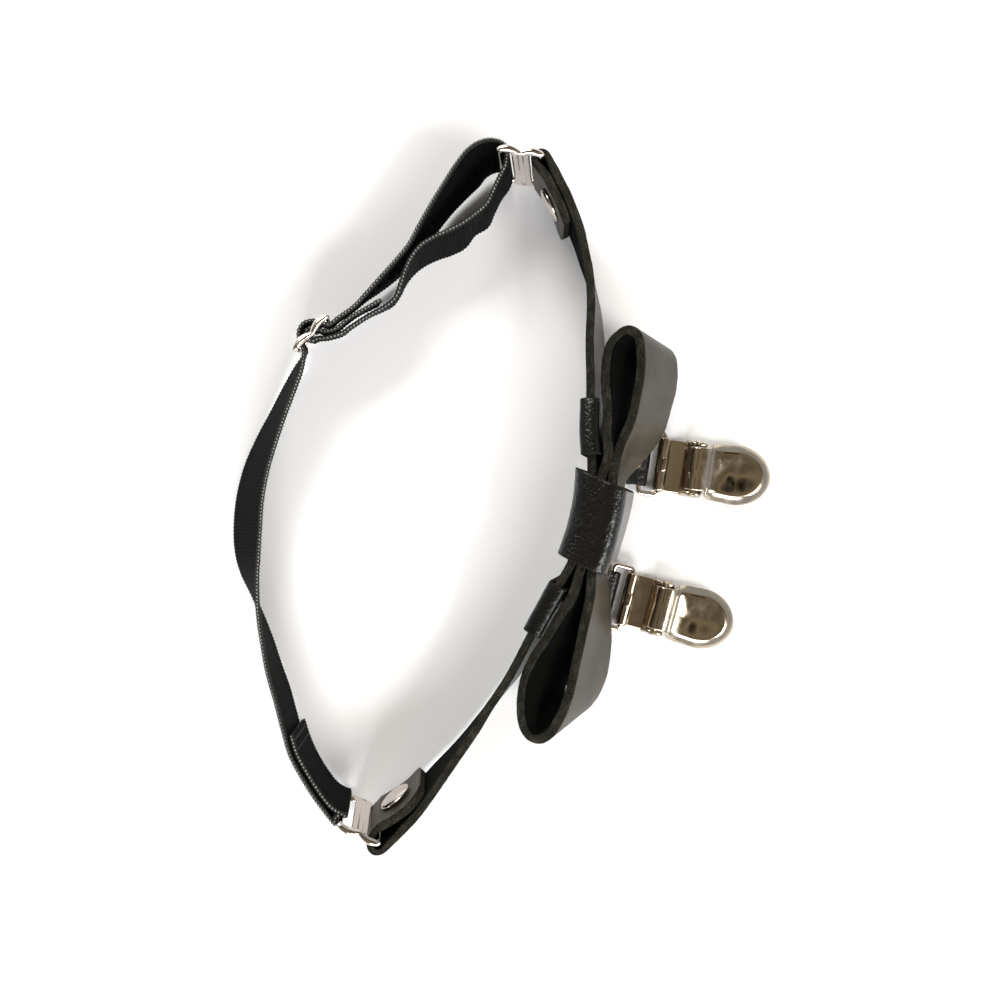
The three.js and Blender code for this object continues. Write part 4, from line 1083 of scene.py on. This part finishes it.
# How far the middle of each of the tail's two leaves lies from the tail's plane
TAIL_LEAF = HANGER["thick"] / 2 + 0.2


def hanger_line(clip, aside):
    """One line along a hanger: up the tail's under leaf, over the strap's rim, down outside, round a bar."""
    rim, foot, _, down, out = strap_at(clip["hangs_at"] + aside)
    off = STRAP["thick"] / 2 + GAP + HANGER["thick"] / 2
    over = GAP + HANGER["thick"] / 2
    turn = RING["wire"] / 2 + 0.3 + HANGER["thick"] / 2

    def tail(up_tail, distance):
        return tail_point(clip, aside * HANGER["tail_share"], up_tail, distance)

    def strap(start, sunk, distance):
        return start + down * sunk + out * distance

    return np.array([
        tail(0.0, -turn),
        tail(1.3, -turn * 0.72),
        tail(2.4, -TAIL_LEAF),
        tail(7.4, -TAIL_LEAF),
        strap(foot, 1.9, 0.6),
        strap(foot, 1.3, -off * 0.75),
        strap(foot, -1.2, -off),
        strap(rim, 10, -off),
        strap(rim, 1.2, -off),
        strap(rim, -over, -off * 0.85),
        strap(rim, -over - 0.5, 0),
        strap(rim, -over, off * 0.85),
        strap(rim, 1.2, off),
        strap(rim, 10, off),
        strap(foot, -1.3, off),
        strap(foot, 1.2, off + 0.5),
        tail(7.4, TAIL_LEAF),
        tail(2.4, TAIL_LEAF),
        tail(1.3, turn * 0.72),
        tail(0.0, turn),
        tail(-turn * 0.75, turn * 0.66),
        tail(-turn, 0),
        tail(-turn * 0.75, -turn * 0.66),
    ])


def clip_hanger(side):
    clip = CLIPS[side]
    half = HANGER["width"] / 2
    lines = [hanger_line(clip, aside) for aside in np.linspace(-half, half, 9)]
    section = band_section(corner=0.35, across=26, edge=2, rounding=4)

    def grained(points, reach, down_mm, way, on_face):
        return 0.03 * grit(points, size=1.1, seed=3) + 0.02 * grit(points, size=0.5, seed=4)

    thicks = np.full(len(lines[0]), HANGER["thick"])
    return add_band(
        f"hanger_{side}", f"clip_hanger_{side}", lines, thicks, section,
        HANGER_STEP, [flesh_side, shiny_cut_edge, shiny_leather], closed=True, relief=grained,
    )


# Elastic
def ribbed(points, reach, down_mm, side, on_face):
    """Crosswise ribs of the elastic, and beads where the weft turns back at its selvedges."""
    rib_rise, bead_rise, selvedge_rise, selvedge_wide = 0.05, 0.10, 0.04, 1.6
    # The ribs of the two faces are offset by a quarter of a rib
    offset = np.where(on_face & (side < 0), 1.6, 0.0)[None]
    wave = np.cos(2 * math.pi * reach / ELASTIC["rib"] + offset)
    near_edge = np.clip(selvedge_wide - np.minimum(down_mm, ELASTIC["width"] - down_mm), 0, 1)
    return rib_rise * wave * (1 - near_edge) + near_edge * (bead_rise * wave + selvedge_rise)


def elastic_band():
    rows = elastic_rows()
    section = band_section(corner=0.5, across=16, edge=1, rounding=3)
    return add_band(
        "elastic_back", "elastic_band", [rows[:, :3], rows[:, 3:6]], rows[:, 6], section,
        ELASTIC["rib"] / 5, [elastic_weave, elastic_selvedge, elastic_weave], ends=0.3, relief=ribbed,
    )


def stitched_rows(name, from_start, rows_at):
    """Rows of stitches across the elastic, on both of its faces near one of its ends."""
    rows = elastic_rows()
    lines, _, at, _, full = stations([rows[:, :3], rows[:, 3:6]], rows[:, 6], step=0.25)
    way = unit(np.gradient(lines[0], axis=0))
    parts = []
    for row_at in rows_at:
        place = row_at if from_start else full - row_at
        n = int(np.argmin(abs(at - place)))
        down = unit(lines[1][n] - lines[0][n])
        out = unit(np.cross(down, way[n]))
        for face in (-1, 1):
            for start in np.arange(STITCH["margin"], ELASTIC["width"] - STITCH["pitch"], STITCH["pitch"]):
                share = np.linspace(0, 1, 9)
                run = lines[0][n] + down * (start + STITCH["length"] * share)[:, None]
                arch = STITCH["rise"] * np.sin(math.pi * share) - STITCH["sunk"]
                lift = face * (ELASTIC["thick"] / 2 + arch)
                parts.append(swept(run + out * lift[:, None], STITCH["thread"], sides=8, up=way[n]))
    points, faces = joined(parts)
    return add_piece(name, None, "harness", points, faces, [thread])


# Rivets, ring and buckles
def rivet(name, node, spec, at, faces_way, grip):
    """Double-cap rivet: flat domed caps with a rolled rim on both faces of the leather."""
    seat = grip / 2 + 0.1
    cap, height, rim_height = spec["cap"], spec["height"] + 0.25, 0.34
    rim = [
        (spec["post"], seat + 0.12),
        (cap - 0.5, seat + 0.12),
        (cap - 0.15, seat),
        (cap, seat + 0.14),
        (cap - 0.02, seat + rim_height),
    ]
    shares = np.linspace(0.985, 0, 22)
    dome = [(cap * s, seat + rim_height + (height - rim_height) * (1 - s**2.6) ** 0.62) for s in shares]
    upper = rim + dome
    lower = [(radius, -up) for radius, up in upper]
    points, faces = turned(lower[::-1] + upper, sides=64, at=at, faces_way=faces_way)
    return add_piece(name, node, "harness", points, faces, [bright_nickel], sharp=60)


def strap_rivet(side):
    seat = RIVET_SEATS[side]
    length = seat["from_fold"] if side == "left" else RUN_LENGTH - seat["from_fold"]
    rim, foot, way, _, out = strap_at(length)
    at = (rim + foot) / 2 - out * seat["apart"] / 2
    grip = seat["apart"] + STRAP["thick"] + seat["spare"]
    return rivet(f"rivet_{side}", f"strap_rivet_{side}", STRAP_RIVET, at, out - way * seat["lean"], grip)


def hanger_rivet(side):
    clip = CLIPS[side]
    at = tail_point(clip, 0, HANGER_RIVET["up_tail"], 0)
    faces_way = tail_point(clip, 0, HANGER_RIVET["up_tail"], 1) - at
    grip = 2 * TAIL_LEAF + HANGER["thick"] + 0.15
    return rivet(f"small_rivet_{side}", f"hanger_rivet_{side}", HANGER_RIVET, at, faces_way, grip)


def ring(side):
    """Rectangular wire ring: far bar in the clip's rolled end, near bar in the hanger's tail."""
    half = RING["length"] / 2 - RING["wire"] / 2
    corner = RING["corner"]
    rise = (RING["near_bar_up"] - CLIP["roll"]) / RING["bar_gap"]
    near, far = corner - RING["bar_gap"], -corner
    left, right = half - corner, corner - half
    path = []
    for along, aside, start in ((far, left, 0), (near, left, 90), (near, right, 180), (far, right, 270)):
        for angle in np.radians(np.linspace(start, start + 90, 9)):
            x = along + corner * math.cos(angle)
            path.append((x, aside + corner * math.sin(angle), CLIP["roll"] - x * rise))
    points, faces = swept(in_clip(CLIPS[side], path), RING["wire"] / 2, sides=24, closed=True)
    return add_piece(
        f"wire_ring_{side}", f"ring_{side}", "harness", points, faces, [bright_nickel]
    )


def rail(up, tip_at):
    """Round rail of a buckle with pointed tips and a pinch in its middle."""
    half = np.array(RAIL_HALF)
    mirrored = half[-2::-1] * (-1, 1, 1)
    rows = curve_points(np.vstack([half, mirrored]), np.linspace(0, 2 * len(half) - 2, 61))
    path = np.column_stack([rows[:, 0] * tip_at, -rows[:, 1], np.full(len(rows), up)])
    return swept(path, rows[:, 2] * BUCKLE["rail"], sides=24)


def buckle_post(start, end, thick, out, corner):
    """Upright flat bar of a buckle, with rounded long edges."""
    plan = rounded_loop((end - start) / 2, thick / 2, corner, steps=6, straights=4)
    loops = [
        np.column_stack([plan[:, 0] + (start + end) / 2, plan[:, 1] - out, np.full(len(plan), up)])
        for up in np.linspace(BUCKLE["rail"], RAIL_UP, 30)
    ]
    return np.vstack(loops), tube_faces(len(loops), len(plan))


def round_post(at):
    bar = BUCKLE["bar"]
    return buckle_post(at - bar, at + bar, 2 * bar, out=0, corner=bar * 0.98)


def buckle(name, node, place, posts):
    """Cast double-loop buckle: two rails, a round bar at each end and what stands between them."""
    bar_at = place["bar_at"]
    tip_at = bar_at + 0.7
    points, faces = joined([
        rail(BUCKLE["rail"], tip_at), rail(RAIL_UP, tip_at), round_post(-bar_at), round_post(bar_at), *posts,
    ])
    kick_x, kick_y = place["kick"]
    fall = math.sqrt(STRAP["width"] ** 2 - kick_x**2 - kick_y**2)
    turn = math.radians(place["heading"])
    rim_up = BUCKLE_LIFT + fall
    x = points[:, 0] * math.cos(turn) - points[:, 1] * math.sin(turn)
    y = points[:, 0] * math.sin(turn) + points[:, 1] * math.cos(turn)
    lean = (rim_up - points[:, 2]) / fall
    placed = np.column_stack([x + place["x"] + kick_x * lean, y + place["y"] + kick_y * lean, points[:, 2]])
    piece = add_piece(name, node, "harness", placed, faces, [bright_nickel])
    return melted(piece, voxel=0.13, smoothing=5)


def buckles():
    start, end, thick = BUCKLE["plate_from"], BUCKLE["plate_to"], BUCKLE["plate_thick"]
    # Two plates, and the thin web that joins them
    plates = [
        buckle_post(start, end, thick, out=0, corner=0.5),
        buckle_post(-end, -start, thick, out=0, corner=0.5),
        buckle_post(-start - 0.2, start + 0.2, thick=0.7, out=0.1, corner=0.1),
    ]
    buckle("connector_frame_left", "connector_left", LEFT_CONNECTOR, plates)
    buckle("connector_frame_right", "connector_right", RIGHT_CONNECTOR, plates)
    buckle("slider_frame", "slider", SLIDER, [round_post(0)])


# Clips
def smooth_share(value, low, high):
    """Rises smoothly from 0 at the low value to 1 at the high one."""
    share = np.clip((np.asarray(value, float) - low) / (high - low), 0, 1)
    return share * share * (3 - 2 * share)


def about_pivot(radius, angles, aside):
    """Points round a clip's pivot, each at its angle and its place aside."""
    aside = np.broadcast_to(aside, len(angles))
    return np.column_stack([
        PIVOT["along"] + radius * np.cos(angles), aside, PIVOT["up"] + radius * np.sin(angles),
    ])


def clip_body(side):
    """Body pressed from one sheet: the end rolled round the ring, the plate, the ears and the lower jaw."""
    sheet = CLIP["sheet"]
    middle = CLIP["roll"] - sheet / 2
    half = CLIP["width"] / 2 - sheet / 2
    roll_from, corner = -12, 2.0
    narrows_from, narrows_to = 12.2, 13.2
    rows = []
    for angle in np.radians(np.linspace(roll_from, 270, 60)):
        from_end = (angle - math.radians(roll_from)) * middle
        rounding = corner * (1 - math.sqrt(1 - (1 - min(from_end / corner, 1.0)) ** 2))
        rows.append((middle * math.cos(angle), CLIP["roll"] + middle * math.sin(angle), half - rounding))
    jaw_half = CLIP["jaw_half"] - sheet / 2
    round_from = CLIP["jaw_to"] - CLIP["jaw_half"]
    for along in np.linspace(0.4, round_from, 56):
        narrowed = smooth_share(along, narrows_from, narrows_to)
        rows.append((along, sheet / 2, half + (jaw_half - half) * narrowed))
    for angle in np.radians(np.linspace(4, 88, 18)):
        rows.append((round_from + jaw_half * math.sin(angle), sheet / 2, jaw_half * math.cos(angle)))
    across = np.sin(np.radians(np.linspace(-90, 90, 33)))
    grid = np.array([[(along, share * wide, up) for share in across] for along, up, wide in rows])
    parts = [pressed_sheet(grid, sheet)]
    for way in (1, -1):
        parts.append(pressed_sheet(ear_grid(way), sheet))
        eyelet_at = EAR["inner"] + sheet + 0.02 - EAR["lean_in"] * PIVOT["up"]
        eyelet = about_pivot(EYELET["radius"], np.linspace(0, math.tau, 33)[:-1], way * eyelet_at)
        parts.append(swept(eyelet, EYELET["wire"], sides=10, closed=True, up=(0.0, 1.0, 0.0)))
    parts.append(roll_tab())
    points, faces = joined(parts)
    placed = in_clip(CLIPS[side], points)
    return add_piece(
        f"clip_frame_{side}", f"clip_body_{side}", "harness", placed, faces, [clip_nickel]
    )


def shoulder(up, start, top):
    """How far a rounded corner is drawn in at a height, as a share of its radius."""
    share = min(1.0, max(0.0, (up - start) / (top - start)))
    return 1 - math.sqrt(1 - share**2)


def ear_grid(way):
    """Middle of a side ear, from inside the plate's edge up to its rounded top."""
    sheet = CLIP["sheet"]
    bend, corner, top = 0.8, 2.0, EAR["top"] - sheet / 2
    front_rounds_from, back_rounds_from = 1.3, 2.8
    side_at = EAR["inner"] + sheet / 2
    turns = np.radians(np.linspace(0, 80, 7))
    columns = [(side_at - bend + bend * math.sin(a), sheet / 2 + bend * (1 - math.cos(a))) for a in turns]
    columns += [(side_at, up) for up in np.linspace(sheet / 2 + bend, top, 26)]
    grid = []
    for aside, up in columns:
        front = EAR["from"] + sheet / 2 + corner * shoulder(up, front_rounds_from, top)
        back = EAR["to"] - sheet / 2 - corner * shoulder(up, back_rounds_from, top)
        leaned = way * (aside - EAR["lean_in"] * up)
        grid.append([(along, leaned, up) for along in np.linspace(front, back, 25)])
    return np.array(grid)


def roll_tab():
    """Small raised tab in the middle of the rolled end."""
    rows = []
    for up, drawn_in, corner in TAB_ROWS:
        half_along, half_aside = TAB["half_along"] - drawn_in, TAB["half_aside"] - drawn_in
        plan = rounded_loop(half_along, half_aside, corner, steps=6, straights=3)
        rows.append(np.column_stack([plan[:, 0] + TAB["along"], plan[:, 1], np.full(len(plan), up)]))
    return np.vstack(rows), tube_faces(len(rows), len(rows[0]))


def clip_lever(side):
    """Thumb lever pressed from sheet: rolled round its pivot, a flat ridge, then a dished pad with a rim."""
    sheet = LEVER["sheet"]
    plate = curve_points(LEVER_ROWS, np.linspace(0, 9.2, 120))
    turn = np.radians(np.linspace(1, 88.5, 60))
    tip = np.column_stack([
        PAD["round_from"] + PAD["length"] * np.sin(turn),
        np.full(len(turn), plate[-1, 1]),
        PAD["half"] * np.cos(turn),
    ])
    middle = LEVER["knuckle"] - sheet / 2
    curl = np.radians(np.linspace(250, 96, 36))
    rolled = np.column_stack([
        PIVOT["along"] + middle * np.cos(curl),
        PIVOT["up"] + middle * np.sin(curl) + sheet / 2,
        np.full(len(curl), LEVER["half"]),
    ])
    rows = np.vstack([rolled, plate, tip])
    across = np.sin(np.radians(np.linspace(-90, 90, 61)))
    along, up = rows[:, :1], rows[:, 1:2] - sheet / 2
    half = np.maximum(rows[:, 2:] - sheet / 2, 0.2)
    # How far each point is from the pad's outline, for the rim that runs round it and the hollow inside that
    past = np.maximum(0, along - PAD["round_from"]) / PAD["length"]
    full = np.where(past > 0, PAD["half"] - sheet / 2, half)
    inward = (1 - np.hypot(past, across[None] * half / full)) * PAD["half"]
    outer = np.clip(1 - inward / PAD["rim"], 0, 1)
    rim_drop = smooth_share(along, *PAD_STARTS["rim"]) * PAD["rim_drop"] * outer**1.4
    dished = smooth_share(inward, PAD["rim"] - 0.8, 8.7)
    hollow = smooth_share(along, *PAD_STARTS["hollow"]) * PAD["hollow"] * dished
    grid = np.stack([np.broadcast_to(along, hollow.shape), across[None] * half, up - rim_drop - hollow], -1)
    parts = [pressed_sheet(grid, sheet)]
    pin_half = EAR["inner"] + CLIP["sheet"] - EAR["lean_in"] * PIVOT["up"] + 0.3
    aside = np.linspace(-pin_half, pin_half, 40)
    pin_radii = PIVOT["pin"] * np.where(abs(aside) / pin_half > 0.985, 0.75, 1.0)
    parts.append(swept(about_pivot(0.0, 0 * aside, aside), pin_radii, sides=24))
    angles = np.linspace(0, math.tau * SPRING["turns"], 360)
    spring = about_pivot(SPRING["radius"], angles, angles / math.tau * SPRING["pitch"] + SPRING["starts_at"])
    parts.append(swept(spring, SPRING["wire"], sides=8, up=(0.0, 1.0, 0.0)))
    points, faces = joined(parts)
    placed = in_clip(CLIPS[side], points)
    return add_piece(
        f"thumb_lever_{side}", f"clip_lever_{side}", f"lever_{side}", placed, faces,
        [clip_nickel],
    )


leather_strap()
bow()
knot()
elastic_band()
stitched_rows("fold_stitching", from_start=False, rows_at=(1.6, 4.2))
stitched_rows("tail_stitching", from_start=True, rows_at=(1.6,))
buckles()
for side in ("left", "right"):
    strap_rivet(side)
    clip_hanger(side)
    hanger_rivet(side)
    ring(side)
    clip_body(side)
    clip_lever(side)


# Floor, light and camera
def floor():
    """White card that the harness lies on, large enough to fill the picture."""
    finish, tree, shader = new_finish("matt_white_card", Roughness=0.9, Specular_IOR_Level=0.2)
    place = add(tree, "ShaderNodeTexCoord").outputs["Object"]
    # Paper fibre of 0.6 mm
    fibre = add(tree, "ShaderNodeTexNoise", Vector=place, Scale=1 / (0.6 * MM), Detail=3.0)
    add(
        tree, "ShaderNodeValToRGB", stops=((0.2, "#f4f4f5"), (0.8, "#f9f9f9")),
        Fac=fibre.outputs["Fac"], to=shader.inputs["Base Color"],
    )
    mesh = bpy.data.meshes.new("white_card")
    half = 3.0
    corners = [(-half, -half, 0), (half, -half, 0), (half, half, 0), (-half, half, 0)]
    mesh.from_pydata(corners, [], [(0, 1, 2, 3)])
    mesh.materials.append(finish)
    card = bpy.data.objects.new("white_card", mesh)
    bpy.context.scene.collection.objects.link(card)


def soft_box(name, at, size, power, colour):
    """Rectangular soft light at a place in metres, turned to the frame's origin."""
    lamp = bpy.data.lights.new(name, "AREA")
    lamp.shape = "RECTANGLE"
    lamp.size, lamp.size_y = size
    lamp.energy = power
    lamp.color = linear(colour)[:3]
    box = bpy.data.objects.new(name, lamp)
    box.location = at
    box.rotation_euler = (-Vector(at)).to_track_quat("-Z", "Y").to_euler()
    bpy.context.scene.collection.objects.link(box)


def lights():
    """A pale room low round the table under a dim brown ceiling, darkest over the right connector."""
    world = bpy.data.worlds.new("room")
    bpy.context.scene.world = world
    world.use_nodes = True
    tree = world.node_tree
    towards = add(tree, "ShaderNodeTexCoord").outputs["Generated"]
    height = add(tree, "ShaderNodeSeparateXYZ", Vector=towards)
    room = add(
        tree, "ShaderNodeValToRGB",
        stops=((0.42, "#f2f6ff"), (0.62, "#93886f"), (0.85, "#8f846c"), (1.0, "#978c75")),
        Fac=height.outputs["Z"],
    )
    # Dark patch 20 degrees round a point that is 30 degrees from straight up towards +X, with a bright border
    patch = add(tree, "ShaderNodeVectorMath", {"operation": "DOT_PRODUCT"}, _0=towards, _1=(0.5, 0.0, 0.866))
    shade = add(
        tree, "ShaderNodeValToRGB",
        stops=((0.82, "#b4b4b4"), (0.885, "#ffffff"), (0.92, "#f4ece6"), (0.945, "#1f1a16")),
        Fac=patch.outputs["Value"],
    )
    seen = add(
        tree, "ShaderNodeMix", {"data_type": "RGBA", "blend_type": "MULTIPLY"},
        _0=1.0, _6=room.outputs["Color"], _7=shade.outputs["Color"],
    )
    background = tree.nodes["Background"]
    tree.links.new(seen.outputs[2], background.inputs["Color"])
    background.inputs["Strength"].default_value = 1.15
    soft_box("window_light", (1.0, 0.45, 0.95), (0.9, 0.6), 19, "#fffefc")
    soft_box("far_light", (-1.1, -0.1, 0.75), (0.8, 0.5), 15, "#fbfcff")
    soft_box("front_light", (-0.5, -0.8, 0.8), (0.4, 0.4), 10, "#fffcf8")


def camera():
    """Straight above and a little left of the picture's middle, at the height that the perspective gives."""
    height = 0.262
    half_angle = math.radians(58.6 / 2)
    lens = bpy.data.cameras.new("overhead")
    lens.sensor_width = 36
    lens.lens = 18 / math.tan(half_angle)
    lens.shift_x = 0.035
    lens.dof.use_dof = False
    view = bpy.data.objects.new("overhead", lens)
    view.location = (*(-MIDDLE[:2] * MM), height)
    view.rotation_euler = (0, 0, math.radians(-90))
    bpy.context.scene.collection.objects.link(view)
    bpy.context.scene.camera = view


floor()
lights()
camera()
bpy.context.scene.view_settings.view_transform = "Standard"
